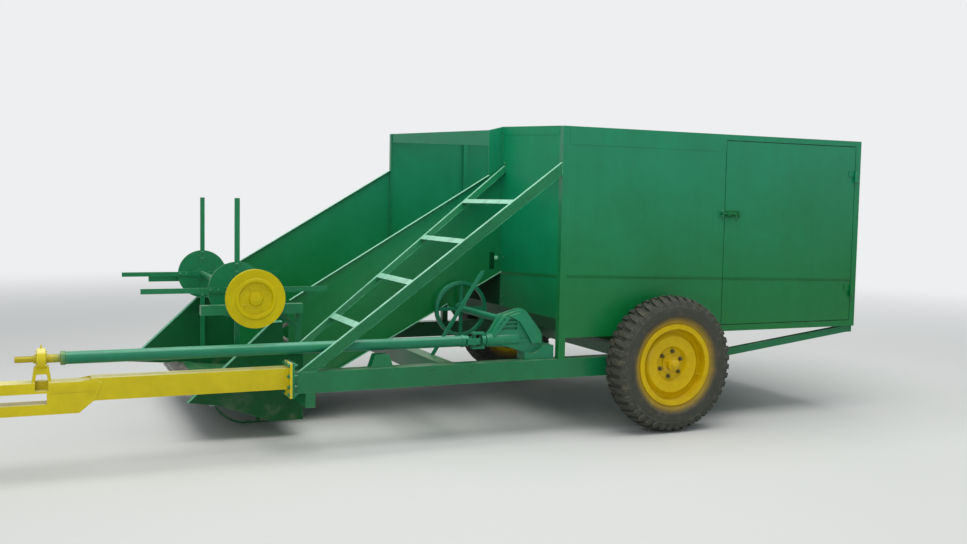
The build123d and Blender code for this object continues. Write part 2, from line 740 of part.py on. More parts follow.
lintel_right_x = right_wall_front + (throat_x - right_wall_front) * tray_depth / (half - throat_left)
lintel_high = max(throat_top_left, bin_top_right)
lintel_low = min(throat_top_left - lintel_left_height, bin_top_right - lintel_right_height)
with BuildPart() as lintel:
    with BuildSketch(Plane.XY.offset(lintel_low)):
        with BuildLine():
            Polyline((throat_x, throat_left), (lintel_right_x, tray_inner),
                     (lintel_right_x + sheet, tray_inner),
                     (throat_x + sheet, throat_left), close=True)
        make_face()
    extrude(amount=lintel_high - lintel_low)
    front_plate([(throat_left - 1, throat_top_left), (tray_inner + 1, bin_top_right),
                 (tray_inner + 1, lintel_high + post_size), (throat_left - 1, lintel_high + post_size)],
                (0, bin_front), Mode.SUBTRACT)
    front_plate([(throat_left - 1, throat_top_left - lintel_left_height),
                 (tray_inner + 1, bin_top_right - lintel_right_height),
                 (tray_inner + 1, lintel_low - post_size),
                 (throat_left - 1, lintel_low - post_size)], (0, bin_front), Mode.SUBTRACT)
save(lintel, "throat_lintel")

# Side door on upright hinges at its rear edge
with BuildPart() as side_door:
    tray(side_plane(-half), [(door_x[0], door_z[0]), (door_x[1], door_z[0]), (door_x[1], door_z[1]),
                             (door_x[0], door_z[1])], -tray_depth)
    middle = (door_x[0] + door_x[1]) / 2
    block((middle - stiffener_width / 2, middle + stiffener_width / 2),
          (-half + sheet, -half + stiffener_depth),
          door_z)
    for low in door_hinge_heights:
        strap_z = (low + knuckle + hinge_split, low + hinge_length)
        rod_z(door_hinge_x, door_hinge_y, hinge_barrel_radius, strap_z)
        block((door_x[1] - strap_length, door_hinge_x - hinge_leaf), (-half - hinge_leaf, -half), strap_z)
        block((door_hinge_x - 2 * hinge_leaf, door_hinge_x),
              (door_hinge_y - hinge_leaf, -half - hinge_leaf / 2),
              strap_z)
        rod_z(door_hinge_x, door_hinge_y, hinge_pin_radius + running_clearance,
              (low, low + hinge_length + 1),
              Mode.SUBTRACT)
save(side_door, "side_door")

# Tailgate on level hinges along its top edge
with BuildPart() as rear_gate:
    tray(front_plane(gate_x), [(gate_y[0], gate_z[0]), (gate_y[1], gate_z[0]), (gate_y[1], gate_z[1]),
                               (gate_y[0], gate_z[1])], -tray_depth)
    for rib_y in (gate_y[0] / 3, gate_y[1] / 3):
        block((gate_x - stiffener_depth, gate_x - sheet),
              (rib_y - stiffener_width / 2, rib_y + stiffener_width / 2),
              gate_z)
    for low in gate_hinge_rows:
        strap_y = (low + knuckle + hinge_split, low + hinge_length)
        rod_y(gate_hinge_x, gate_hinge_z, hinge_barrel_radius, strap_y)
        block((gate_x, gate_x + hinge_leaf), strap_y,
              (gate_hinge_z - strap_length, gate_hinge_z - hinge_leaf))
        block((gate_x + hinge_leaf / 2, gate_hinge_x + hinge_leaf), strap_y,
              (gate_hinge_z - 2 * hinge_leaf, gate_hinge_z))
        rod_y(gate_hinge_x, gate_hinge_z, hinge_pin_radius + running_clearance,
              (low, low + hinge_length + 1),
              Mode.SUBTRACT)
save(rear_gate, "rear_gate")

# Ladder: both rails rise at one slope, and the right one closes in towards its top
slope_sin = math.sin(math.radians(ladder_slope))
slope_cos = math.cos(math.radians(ladder_slope))
slope_run = slope_cos / slope_sin
ladder_top_z = beam_top + (bin_front - ladder_foot_x) / slope_run
left_rail_y = -half + rail_width / 2
with BuildPart() as ladder:
    for foot_z, foot_y, top_y, depth in ((beam_top, left_rail_y, left_rail_y, rail_depth),
                                         (left_plate_low_top, ladder_far_foot_y, ladder_far_top_y,
                                          far_rail_depth)):
        climb = ladder_top_z - foot_z
        foot_x = bin_front - climb * slope_run
        rail_run = depth / slope_sin
        with BuildSketch(Plane.XY.offset(foot_z)):
            with Locations((foot_x + rail_run / 2, foot_y)):
                Rectangle(rail_run, rail_width)
        rail_way = Vector(climb * slope_run, top_y - foot_y, climb)
        extrude(amount=rail_way.length, dir=rail_way.normalized())
    for rung in range(rung_count):
        rung_x = first_rung_x + rung * rung_pitch
        rung_z = ladder_top_z - (bin_front - rung_x) / slope_run
        share = (rung_z - left_plate_low_top) / (ladder_top_z - left_plate_low_top)
        rung_end = ladder_far_foot_y + (ladder_far_top_y - ladder_far_foot_y) * share
        along = (rung_width / 2 * slope_cos, rung_width / 2 * slope_sin)
        under = (rung_thickness * slope_sin, -rung_thickness * slope_cos)
        side_plate([(rung_x - along[0], rung_z - along[1]), (rung_x + along[0], rung_z + along[1]),
                    (rung_x + along[0] + under[0], rung_z + along[1] + under[1]),
                    (rung_x - along[0] + under[0], rung_z - along[1] + under[1])], (left_rail_y, rung_end))
    block((bin_front, bin_front + 2 * rail_depth / slope_sin), (-half - 1, 0), (beam_top, 2 * ladder_top_z),
          Mode.SUBTRACT)
save(ladder, "ladder")

with BuildPart() as lever:
    with BuildSketch(Plane.XY.offset(beam_top)):
        with Locations((front_cross_x + cross_width * lever_share, lever_y)):
            Rectangle(lever_width, lever_thickness)
    lever_way = Vector(math.cos(math.radians(lever_slope)), 0, math.sin(math.radians(lever_slope)))
    extrude(amount=lever_length, dir=lever_way)
save(lever, "idler_lever")

# Header: side plates
nose_drop = header_beam_top + 23
left_shoulder_x = right_shoulder_x + left_plate_shift
shoulder_rear = left_shoulder_x + shoulder_length
with BuildPart() as left_header_plate:
    side_plate([(right_nose_x + left_plate_shift, nose_z), (left_shoulder_x, plate_top),
                (shoulder_rear, plate_top),
                (shoulder_rear + 12, left_plate_low_top), (elevator_low_x, left_plate_low_top),
                (elevator_low_x, header_beam_bottom), (header_beam_x, header_beam_bottom),
                (knife_x + 20, nose_drop)],
               (header_left, header_left + plate))
save(left_header_plate, "left_header_plate")

with BuildPart() as right_header_plate:
    side_plate([(right_nose_x, nose_z), (right_shoulder_x, plate_top), (right_wall_low_x, plate_top),
                (right_wall_low_x, header_beam_bottom), (header_beam_x, header_beam_bottom),
                (knife_x + 20, nose_drop)],
               (wall_inner, half))
save(right_header_plate, "right_header_plate")

# Header: cross beam and the arm that carries it from the left main beam
with BuildPart() as header_beam:
    tube_y((header_beam_x, header_beam_x + header_beam_size), header_span,
           (header_beam_bottom, header_beam_top),
           header_beam_wall)
save(header_beam, "header_beam")

with BuildPart() as header_arm:
    block((arm_x, arm_x + arm_size), (-half, header_left), (beam_bottom - arm_height, beam_bottom))
save(header_arm, "header_carrier_arm")

# Header: curved pan with the plate that closes it left of the elevator
pan_front = knife_x + 20
pan_rear = header_beam_x + header_beam_size
bow_x = (pan_front + header_beam_x) / 2
low_z = elevator_floor(elevator_low_x)
with BuildPart() as pan:
    with BuildSketch(side_plane(header_span[0])):
        with BuildLine():
            Line((pan_front, knife_z - plate), (pan_front, knife_z))
            Line((pan_front, knife_z), (pan_front + pan_lip, knife_z))
            ThreePointArc((pan_front + pan_lip, knife_z), (bow_x, header_beam_top + 14),
                          (header_beam_x, header_beam_top + plate))
            Line((header_beam_x, header_beam_top + plate), (pan_rear, header_beam_top + plate))
            Line((pan_rear, header_beam_top + plate), (elevator_low_x, low_z + plate))
            Line((elevator_low_x, low_z + plate), (elevator_low_x, low_z))
            Line((elevator_low_x, low_z), (pan_rear, header_beam_top))
            Line((pan_rear, header_beam_top), (header_beam_x, header_beam_top))
            ThreePointArc((header_beam_x, header_beam_top), (bow_x, header_beam_top + 14 - plate),
                          (pan_front + pan_lip, knife_z - plate))
            Line((pan_front + pan_lip, knife_z - plate), (pan_front, knife_z - plate))
        make_face()
    extrude(amount=-(header_span[1] - header_span[0]))
    block((elevator_low_x - plate, elevator_low_x), (header_span[0], throat_left - plate),
          (low_z, header_beam_top + back_plate_height))
save(pan, "header_pan")

# Header: cutter bar with pointed guards, and the knife in their slots
bar_x = (knife_x - 42, pan_front + pan_lip - 5)
bar_top = knife_z - plate
guard_base_x = bar_x[0] + 14
header_mid = (header_span[0] + header_span[1]) / 2
guard_count = int((header_span[1] - header_span[0] - 60) / guard_pitch)
with BuildPart() as guard:
    for share, width, height in guard_sections:
        with BuildSketch(front_plane(guard_base_x - share * guard_length)):
            with Locations((header_mid, knife_z + share * 3)):
                Rectangle(width, height)
    loft(ruled=True)
with BuildPart() as cutter_bar:
    block(bar_x, header_span, (bar_top - bar_thickness, bar_top))
    with Locations(*[(0, (row - (guard_count - 1) / 2) * guard_pitch, 0) for row in range(guard_count)]):
        add(guard.part)
    block((guard_base_x - guard_length * guard_slot_share, pan_front + pan_lip), header_span,
          (knife_z - knife_thickness / 2, knife_z + knife_slot / 2), Mode.SUBTRACT)
save(cutter_bar, "cutter_bar_guards")

section_half = (guard_pitch - section_gap) / 2
with BuildPart() as knife:
    with BuildSketch(Plane.XY.offset(knife_z - knife_thickness / 2)):
        with Locations((bar_x[0] + back_strip / 2, header_mid)):
            Rectangle(back_strip, guard_count * guard_pitch - back_strip)
        with Locations((bar_x[0] + 1, header_mid)):
            with GridLocations(1, guard_pitch, 1, guard_count - 1):
                Polygon((0, -section_half), (0, section_half), (-section_reach, section_tip / 2),
                        (-section_reach, -section_tip / 2), align=None)
    extrude(amount=knife_thickness)
save(knife, "knife_sections")

# Header: ground skids, each a bent strap with two uprights under the beam
skid_tip = (pan_front + 8, bar_top - bar_thickness)
skid_heel = header_beam_x - 90
beam_back = header_beam_x + header_beam_size
with BuildPart() as skids:
    for skid_y in skid_rows:
        with BuildSketch(side_plane(skid_y - skid_width / 2)):
            with BuildLine():
                Line((beam_back, 0), (skid_heel, 0))
                ThreePointArc((skid_heel, 0), (skid_heel - 145, 60), skid_tip)
                Line(skid_tip, (skid_tip[0] + skid_strap + 2, skid_tip[1]))
                ThreePointArc((skid_tip[0] + skid_strap + 2, skid_tip[1]), (skid_heel - 137, 72),
                              (skid_heel, skid_strap))
                Line((skid_heel, skid_strap), (beam_back, skid_strap))
                Line((beam_back, skid_strap), (beam_back, 0))
            make_face()
        extrude(amount=-skid_width)
        for upright_x in (header_beam_x, beam_back - skid_strap):
            block((upright_x, upright_x + skid_strap), (skid_y - skid_width / 2, skid_y + skid_width / 2),
                  (skid_strap, header_beam_bottom))
save(skids, "header_skids")

# Elevator: left wall with the throat's cheek and the cross shaft's bearing
left_wall_rise = math.tan(math.radians(left_wall_angle))
left_wall_y = (throat_left - plate, throat_left)
hanger_low = cross_shaft_z - hanger_drop
bearing_ring = left_wall_y[0] - spoke_thickness
with BuildPart() as elevator_left:
    side_plate([(elevator_low_x, low_z),
                (cross_shaft_x - hanger_half, elevator_floor(cross_shaft_x - hanger_half)),
                (cross_shaft_x - cross_shaft_radius, hanger_low),
                (cross_shaft_x + cross_shaft_radius, hanger_low),
                (cross_shaft_x + hanger_half, elevator_floor(cross_shaft_x + hanger_half)),
                (bin_front - strip_proud, elevator_floor(bin_front - strip_proud)),
                (bin_front - strip_proud, bin_top_right), (throat_x, throat_top_left),
                (throat_x, left_wall_top_low + (throat_x - elevator_low_x) * left_wall_rise),
                (elevator_low_x, left_wall_top_low)], left_wall_y)
    for lip_front, lip_rear in ((wall_lip_start, cross_shaft_x - hanger_half),
                                (cross_shaft_x + hanger_half, bin_front - strip_proud)):
        side_plate([(lip_front, elevator_floor(lip_front)), (lip_rear, elevator_floor(lip_rear)),
                    (lip_rear, elevator_floor(lip_rear) + plate),
                    (lip_front, elevator_floor(lip_front) + plate)],
                   (left_wall_y[0] - wall_lip, left_wall_y[0]))
    rod_y(cross_shaft_x, cross_shaft_z, cross_shaft_radius + shaft_collar, (bearing_ring, left_wall_y[1]))
    rod_y(cross_shaft_x, cross_shaft_z, cross_shaft_radius + running_clearance,
          (bearing_ring - 1, left_wall_y[1] + 1),
          Mode.SUBTRACT)
save(elevator_left, "elevator_left_wall")

with BuildPart() as elevator_right:
    side_plate([(right_wall_low_x, header_beam_bottom), (elevator_low_x, low_z),
                (right_wall_front, elevator_floor(right_wall_front)),
                (right_wall_front, right_wall_top_high),
                (right_wall_low_x, right_wall_top_low)], (wall_inner, half))
save(elevator_right, "elevator_right_wall")

# Elevator: floor, with the sill that closes the bin's front below it
floor_end = bin_front + pan_lip
with BuildPart() as floor_sheet:
    for floor_x_span, floor_y_span in (((elevator_low_x, floor_end), (throat_left, tray_inner)),
                                       ((elevator_low_x, right_wall_front), (tray_inner - 1, wall_inner))):
        low_end, high_end = floor_x_span
        side_plate([(low_end, elevator_floor(low_end)), (high_end, elevator_floor(high_end)),
                    (high_end, elevator_floor(high_end) + sheet),
                    (low_end, elevator_floor(low_end) + sheet)],
                   floor_y_span)
    block((bin_front, bin_front + sheet), (throat_left, tray_inner),
          (front_panel_bottom, elevator_floor(bin_front) + 1))
save(floor_sheet, "elevator_floor")

# Elevator: slat chain on its two shafts
lower_x = elevator_low_x + slat_reach
upper_x = throat_x - slat_clearance
lower_z = elevator_floor(lower_x) + chain_height
upper_z = elevator_floor(upper_x) + chain_height
run_length = math.hypot(upper_z - lower_z, upper_x - lower_x)
chain_rows = (throat_left + chain_inset, (throat_left + tray_inner) / 2, tray_inner - chain_inset)
with BuildPart() as slat_chain:
    for chain_y in chain_rows:
        for radius, grow, mode in ((chain_radius, 0, Mode.ADD),
                                   (chain_radius - chain_link, 1, Mode.SUBTRACT)):
            with BuildSketch(side_plane(chain_y - chain_width / 2 - grow)):
                with Locations((lower_x, lower_z), (upper_x, upper_z)):
                    Circle(radius)
                make_hull()
            extrude(amount=-(chain_width + 2 * grow), mode=mode)
    with BuildSketch(side_plane(throat_left + slat_margin)):
        with Locations(Location(((lower_x + upper_x) / 2, (lower_z + upper_z) / 2), elevator_angle)):
            with GridLocations(run_length / slat_rows, 2 * slat_reach - slat_height, slat_rows, 2):
                Rectangle(slat_thickness, slat_height)
    extrude(amount=-(tray_inner - throat_left - 2 * slat_margin))
save(slat_chain, "elevator_slat_chain")

with BuildPart() as elevator_shafts:
    for shaft_x, shaft_height, shaft_end in ((lower_x, lower_z, wall_inner),
                                             (upper_x, upper_z, half - sheet)):
        rod_y(shaft_x, shaft_height, elevator_shaft_radius, (throat_left, shaft_end))
        for chain_y in chain_rows:
            rod_y(shaft_x, shaft_height, chain_radius - chain_link - bead_gap,
                  (chain_y - sprocket_width / 2, chain_y + sprocket_width / 2))
save(elevator_shafts, "elevator_shafts")

# Reel: one shaft with a disc and four arms at each end
with BuildPart() as reel_rotor:
    rod_y(reel_x, reel_z, reel_shaft_radius, (pulley_y - pulley_web, reel_shaft_end))
    for disc_y in reel_rows:
        disc_front = disc_y - reel_disc_thickness / 2
        rod_y(reel_x, reel_z, reel_disc_radius, (disc_front, disc_y + reel_disc_thickness / 2))
        rod_y(reel_x, reel_z, reel_boss_radius, (disc_front, disc_y + reel_boss_length))
        with BuildSketch(side_plane(disc_front - reel_disc_thickness)):
            with Locations((reel_x, reel_z)):
                Rectangle(2 * reel_radius, reel_arm_width)
                Rectangle(reel_arm_width, 2 * reel_radius)
                Circle(reel_boss_radius)
        extrude(amount=-reel_disc_thickness)
save(reel_rotor, "reel_rotor")

with BuildPart() as pulley:
    with BuildSketch(Plane(origin=(reel_x, pulley_y, reel_z), x_dir=(1, 0, 0), z_dir=(0, 0, 1))):
        with BuildLine():
            Polyline((0, -pulley_hub_front), (pulley_hub, -pulley_hub_front), (pulley_hub + 8, -pulley_web),
                     (pulley_ring[0] - 8, -pulley_web), (pulley_ring[0], -pulley_hub_front),
                     (pulley_ring[1], -pulley_hub_front), (pulley_ring[1] + 6, -pulley_width / 2),
                     (pulley_radius, -pulley_width / 2), (pulley_radius - pulley_groove, 0),
                     (pulley_radius, pulley_width / 2),
                     (pulley_radius - pulley_groove - 8, pulley_width / 2),
                     (pulley_radius - 2 * pulley_groove, -pulley_web + 2), (pulley_ring[1], -pulley_web),
                     (pulley_ring[0], -pulley_web), (pulley_ring[0] - 8, 0), (pulley_hub + 8, 0),
                     (pulley_hub, pulley_hub_front), (reel_shaft_radius, pulley_hub_front),
                     (reel_shaft_radius, -pulley_web), (0, -pulley_web), close=True)
        make_face()
    revolve(axis=Axis((reel_x, pulley_y, reel_z), (0, 1, 0)))
save(pulley, "reel_pulley")

# Reel supports, each with its bearing boss
support_foot_x = elevator_low_x - plate
support_low = header_beam_top + 28
with BuildPart() as left_support:
    block((support_bar_front, support_foot_x), (header_left, left_support_y[1]),
          (support_bottom, support_bottom + support_bar_height))
    block((support_foot_x - support_leg, support_foot_x), left_support_y, (support_low, support_bottom))
    block((support_foot_x - support_leg, support_foot_x), (header_span[0], left_support_y[1]),
          (support_low, support_low + arm_size))
    side_plate([(reel_x - support_plinth, support_bottom), (reel_x + support_plinth, support_bottom),
                (reel_x + support_boss_radius, reel_z), (reel_x - support_boss_radius, reel_z)],
               left_support_y)
    rod_y(reel_x, reel_z, support_boss_radius, (left_support_y[0] - 20, left_support_y[1] + 20))
    rod_y(reel_x, reel_z, reel_shaft_radius + running_clearance,
          (left_support_y[0] - support_boss_length, left_support_y[1] + support_boss_length), Mode.SUBTRACT)
save(left_support, "left_reel_support")

support_rear = right_wall_low_x + support_reach
with BuildPart() as right_support:
    side_plate([(support_nose_x[0], support_nose_z[0]), (support_nose_x[1], support_nose_z[0]),
                (support_nose_x[2], support_bottom), (support_rear, support_bottom),
                (support_rear, support_top),
                (support_step_x[0], support_top), (support_step_x[1], support_nose_z[1]),
                (support_nose_x[0], support_nose_z[1])], right_support_y)
    block((right_wall_low_x + plate, support_rear), (right_support_y[0], wall_inner),
          (support_bottom, support_top))
    rod_y(reel_x, reel_z, support_boss_radius, (right_support_y[0] - 8, right_support_y[1] + 8))
    rod_y(reel_x, reel_z, reel_shaft_radius + running_clearance,
          (right_support_y[0] - support_boss_length, right_support_y[1] + support_boss_length),
          Mode.SUBTRACT)
save(right_support, "right_reel_support")
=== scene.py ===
"""Looks of a trailed reaper with a large collecting bin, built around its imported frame."""

import json
import logging
import math
import random
from abc import ABC, abstractmethod
from dataclasses import dataclass
from enum import Enum
from typing import Callable, Iterable, Sequence

import bmesh
import bpy
from mathutils import Matrix, Vector

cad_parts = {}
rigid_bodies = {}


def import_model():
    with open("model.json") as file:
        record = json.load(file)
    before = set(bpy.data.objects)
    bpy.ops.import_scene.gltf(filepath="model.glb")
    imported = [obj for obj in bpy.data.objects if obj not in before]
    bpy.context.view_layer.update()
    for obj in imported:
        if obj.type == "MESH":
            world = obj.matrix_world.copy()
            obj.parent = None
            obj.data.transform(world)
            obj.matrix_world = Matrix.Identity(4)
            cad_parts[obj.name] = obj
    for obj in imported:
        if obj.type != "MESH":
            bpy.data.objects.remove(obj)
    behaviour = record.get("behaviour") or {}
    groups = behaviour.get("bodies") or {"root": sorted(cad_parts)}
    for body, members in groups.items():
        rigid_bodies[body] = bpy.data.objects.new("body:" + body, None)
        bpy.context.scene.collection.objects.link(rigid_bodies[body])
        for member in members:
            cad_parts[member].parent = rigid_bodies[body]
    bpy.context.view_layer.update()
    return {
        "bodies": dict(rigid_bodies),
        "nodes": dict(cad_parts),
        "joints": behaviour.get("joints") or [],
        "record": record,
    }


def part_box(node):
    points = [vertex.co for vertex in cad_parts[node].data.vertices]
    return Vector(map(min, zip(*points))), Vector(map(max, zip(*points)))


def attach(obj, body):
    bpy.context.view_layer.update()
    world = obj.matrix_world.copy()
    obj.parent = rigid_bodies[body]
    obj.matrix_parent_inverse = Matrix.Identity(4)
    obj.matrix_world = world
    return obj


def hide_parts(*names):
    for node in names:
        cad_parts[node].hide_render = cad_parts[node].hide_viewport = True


LOG = logging.getLogger("reaper")
Socket = bpy.types.NodeSocket
Sockets = dict[str, Socket]
Inputs = dict[str | int, object]
Colour = tuple[float, float, float, float]
Pair = tuple[float, float]
Triple = tuple[float, float, float]
Path = tuple[Pair, ...]
Point = Sequence[float]

# Sizes shared by several sub-assemblies, in metres
HALF_WIDTH = 1.165
BIN_FRONT = 0.523
BIN_REAR = 3.137
BIN_BOTTOM = 0.660
DOOR_SPLIT = 1.860
GATE_X = 3.110
BEAM_WIDTH = 0.100
BEAM_BOTTOM = 0.387
BEAM_TOP = 0.517
FLANGE_X = (-1.318, -1.290)
THROAT_LEFT = -0.205
DRIVE_Y = -1.075
DRIVE_Z = 0.655
ELEVATOR_SLOPE = math.radians(28.4)
# Angles in degrees above which an edge of a piece stays sharp, or is rounded
SHARP = 38.0
BEAD_SHARP = 70.0
ROUNDED = 50.0
# Weld beads: length of a ripple and size of its hollows and ends in radii, spread of the size, and sides
RIPPLE = 1.15
RIPPLE_HOLLOW = 0.78
BEAD_END = 0.55
BEAD_SPREAD = (0.9, 1.1)
BEAD_SIDES = 7


def linear(red: int, green: int, blue: int) -> Colour:
    """Turns a display colour into the linear one that a shader takes.

    Args:
        red: Red, 0 to 255.
        green: Green, 0 to 255.
        blue: Blue, 0 to 255.

    Returns:
        The linear colour with full alpha.
    """
    shares = [value / 255 for value in (red, green, blue)]
    return (*(s / 12.92 if s <= 0.04045 else ((s + 0.055) / 1.055) ** 2.4 for s in shares), 1.0)


class Side(Enum):
    """Side of the machine, with the sign of Y there."""

    LEFT = -1
    RIGHT = 1

    @property
    def label(self) -> str:
        """Word used in the names of nodes and pieces."""
        return self.name.lower()


class Body(str, Enum):
    """Moving group that a piece rides on."""

    CHASSIS = "chassis"
    LEFT_WHEEL = "left_wheel"
    RIGHT_WHEEL = "right_wheel"
    REEL = "reel"
    DRIVE_LINE = "drive_line"
    CROSS_DRIVE = "cross_drive"
    SIDE_DOOR = "side_door"
    TAILGATE = "tailgate"


class Slot(str, Enum):
    """Material slot names of the record, passed to each new piece."""

    BODY = "body_green"
    SHAFT = "shaft_green"
    DRAWBAR = "drawbar_yellow"
    WHEEL = "wheel_yellow"
    TYRE = "tyre"
    STEEL = "worn_steel"


# Node trees


class Tree:
    """Lays out and joins the nodes of one node tree."""

    def __init__(self, tree: bpy.types.NodeTree) -> None:
        """Keeps the tree's node and link lists."""
        self.nodes = tree.nodes
        self.links = tree.links

    def fill(self, node: bpy.types.Node, inputs: Inputs) -> None:
        """Joins a node's inputs to other nodes, or gives them plain values.

        Args:
            node: Node to fill.
            inputs: Another node's output, a plain value, or None to leave it, for each input.
        """
        for key, value in inputs.items():
            if isinstance(value, Socket):
                self.links.new(value, node.inputs[key])
            elif value is not None:
                node.inputs[key].default_value = value

    def add(self, kind: str, inputs: Inputs | None = None, **settings: object) -> bpy.types.Node:
        """Adds a node.

        Args:
            kind: Its type.
            inputs: What its inputs get.
            **settings: Its own properties.

        Returns:
            The node.
        """
        node = self.nodes.new(kind)
        for name, value in settings.items():
            setattr(node, name, value)
        self.fill(node, inputs or {})
        return node

    def math(self, operation: str, first: object, second: object, third: object = None,
             clamp: bool = False) -> Socket:
        """Adds a math node.

        Args:
            operation: Name of the operation.
            first: First operand.
            second: Second operand.
            third: Third operand, if there is one.
            clamp: Whether the result stays between 0 and 1.

        Returns:
            The result.
        """
        operands = {0: first, 1: second, 2: third}
        return self.add("ShaderNodeMath", operands, operation=operation, use_clamp=clamp).outputs[0]

    def times(self, first: object, second: object, clamp: bool = False) -> Socket:
        """Product of two values."""
        return self.math("MULTIPLY", first, second, clamp=clamp)

    def plus(self, first: object, second: object, clamp: bool = False) -> Socket:
        """Sum of two values."""
        return self.math("ADD", first, second, clamp=clamp)

    def less(self, first: object, second: object) -> Socket:
        """First value less the second."""
        return self.math("SUBTRACT", first, second)

    def step(self, value: object, low: object, high: object) -> Socket:
        """Adds a smooth step from 0 at low to 1 at high.

        Args:
            value: Value to place between the two.
            low: Where the step starts.
            high: Where it ends.

        Returns:
            The share between 0 and 1.
        """
        inputs = {"Value": value, "From Min": low, "From Max": high}
        return self.add("ShaderNodeMapRange", inputs, interpolation_type="SMOOTHSTEP").outputs["Result"]

    def span(self, value: object, low: object, high: object) -> Socket:
        """Adds a plain map from 0..1 to low..high.

        Args:
            value: Value between 0 and 1.
            low: Result at 0.
            high: Result at 1.

        Returns:
            The mapped value.
        """
        inputs = {"Value": value, "To Min": low, "To Max": high}
        return self.add("ShaderNodeMapRange", inputs).outputs["Result"]

    def mix(self, share: object, first: object, second: object, way: str = "MIX") -> Socket:
        """Adds a colour mix.

        Args:
            share: How much of the second colour.
            first: First colour.
            second: Second colour.
            way: Blend type.

        Returns:
            The mixed colour.
        """
        inputs = {0: share, 6: first, 7: second}
        return self.add("ShaderNodeMix", data_type="RGBA", blend_type=way, inputs=inputs).outputs[2]

    def shade(self, colour: object, value: object) -> Socket:
        """Multiplies a colour by a value."""
        grey = self.add("ShaderNodeCombineColor", {0: value, 1: value, 2: value}).outputs[0]
        return self.mix(1.0, colour, grey, "MULTIPLY")

    def place(self) -> Socket:
        """Place on the piece itself, which moves along with it."""
        return self.nodes.new("ShaderNodeTexCoord").outputs["Object"]

    def upward(self, low: float, high: float) -> Socket:
        """Share of faces that look up in the piece's own frame."""
        return self.step(self.split(self.nodes.new("ShaderNodeTexCoord").outputs["Normal"])[2], low, high)

    def vector(self, operation: str, first: object, second: object = None) -> bpy.types.Node:
        """Adds a vector math node.

        Args:
            operation: Name of the operation.
            first: First vector.
            second: Second vector, if there is one.

        Returns:
            The node, with a vector and a value among its outputs.
        """
        return self.add("ShaderNodeVectorMath", {0: first, 1: second}, operation=operation)

    def stretch(self, vector: object, scale: Triple) -> Socket:
        """Scales a place along its three directions."""
        return self.vector("MULTIPLY", vector, scale).outputs[0]

    def split(self, vector: object) -> tuple[Socket, ...]:
        """Splits a vector into its three numbers."""
        return tuple(self.add("ShaderNodeSeparateXYZ", {0: vector}).outputs)

    def noise(self, vector: object, scale: object, detail: float = 4.0, rough: float = 0.55,
              twist: float = 0.0) -> Socket:
        """Adds a noise field.

        Args:
            vector: Place to read.
            scale: Cells per metre.
            detail: Number of finer layers.
            rough: Strength of the finer layers.
            twist: Distortion.

        Returns:
            The noise between 0 and 1.
        """
        inputs = {"Vector": vector, "Scale": scale, "Detail": detail, "Roughness": rough, "Distortion": twist}
        return self.add("ShaderNodeTexNoise", inputs).outputs["Fac"]

    def bump(self, height: object, strength: float, distance: float) -> Socket:
        """Turns a height into a surface direction.

        Args:
            height: Height of the relief.
            strength: How much of it shows.
            distance: Depth of the relief, in metres.

        Returns:
            The surface direction.
        """
        inputs = {"Strength": strength, "Distance": distance, "Height": height}
        return self.add("ShaderNodeBump", inputs).outputs[0]


def fresh_tree(owner: bpy.types.Material | bpy.types.World) -> Tree:
    """Gives a material or world an empty node tree.

    Args:
        owner: What the tree belongs to.

    Returns:
        The tree.
    """
    owner.use_nodes = True
    owner.node_tree.nodes.clear()
    return Tree(owner.node_tree)


# Effects that several finishes share


class Effect(ABC):
    """A shader node group, built once. A number or a colour is the default of each input."""

    name: str
    inputs: dict[str, float | Colour]
    outputs: tuple[str, ...] = ("Mask",)

    @abstractmethod
    def fill(self, tree: Tree, given: Sockets) -> Sockets:
        """Lays out the group's nodes.

        Args:
            tree: Tree to fill.
            given: The group's inputs by name.

        Returns:
            What each output carries, by name.
        """

    def group(self) -> bpy.types.ShaderNodeTree:
        """Gives the group, and builds it on first use.

        Returns:
            The shared node group.
        """
        made = bpy.data.node_groups.get(self.name)
        if made:
            return made
        made = bpy.data.node_groups.new(self.name, "ShaderNodeTree")
        for label, value in self.inputs.items():
            kind = "NodeSocketColor" if isinstance(value, tuple) else "NodeSocketFloat"
            made.interface.new_socket(name=label, in_out="INPUT", socket_type=kind).default_value = value
        for label in self.outputs:
            kind = "NodeSocketColor" if label == "Colour" else "NodeSocketFloat"
            made.interface.new_socket(name=label, in_out="OUTPUT", socket_type=kind)
        tree = Tree(made)
        entry = tree.add("NodeGroupInput")
        given = {label: entry.outputs[label] for label in self.inputs}
        tree.add("NodeGroupOutput", self.fill(tree, given))
        return made

    def use(self, tree: Tree, **values: object) -> Sockets:
        """Places the group in a material.

        Args:
            tree: The material's tree.
            **values: Input values, with _ for a space in the input's name.

        Returns:
            The group's outputs by name.
        """
        inputs = {label.replace("_", " "): value for label, value in values.items()}
        node = tree.add("ShaderNodeGroup", inputs, node_tree=self.group())
        return {label: node.outputs[label] for label in self.outputs}


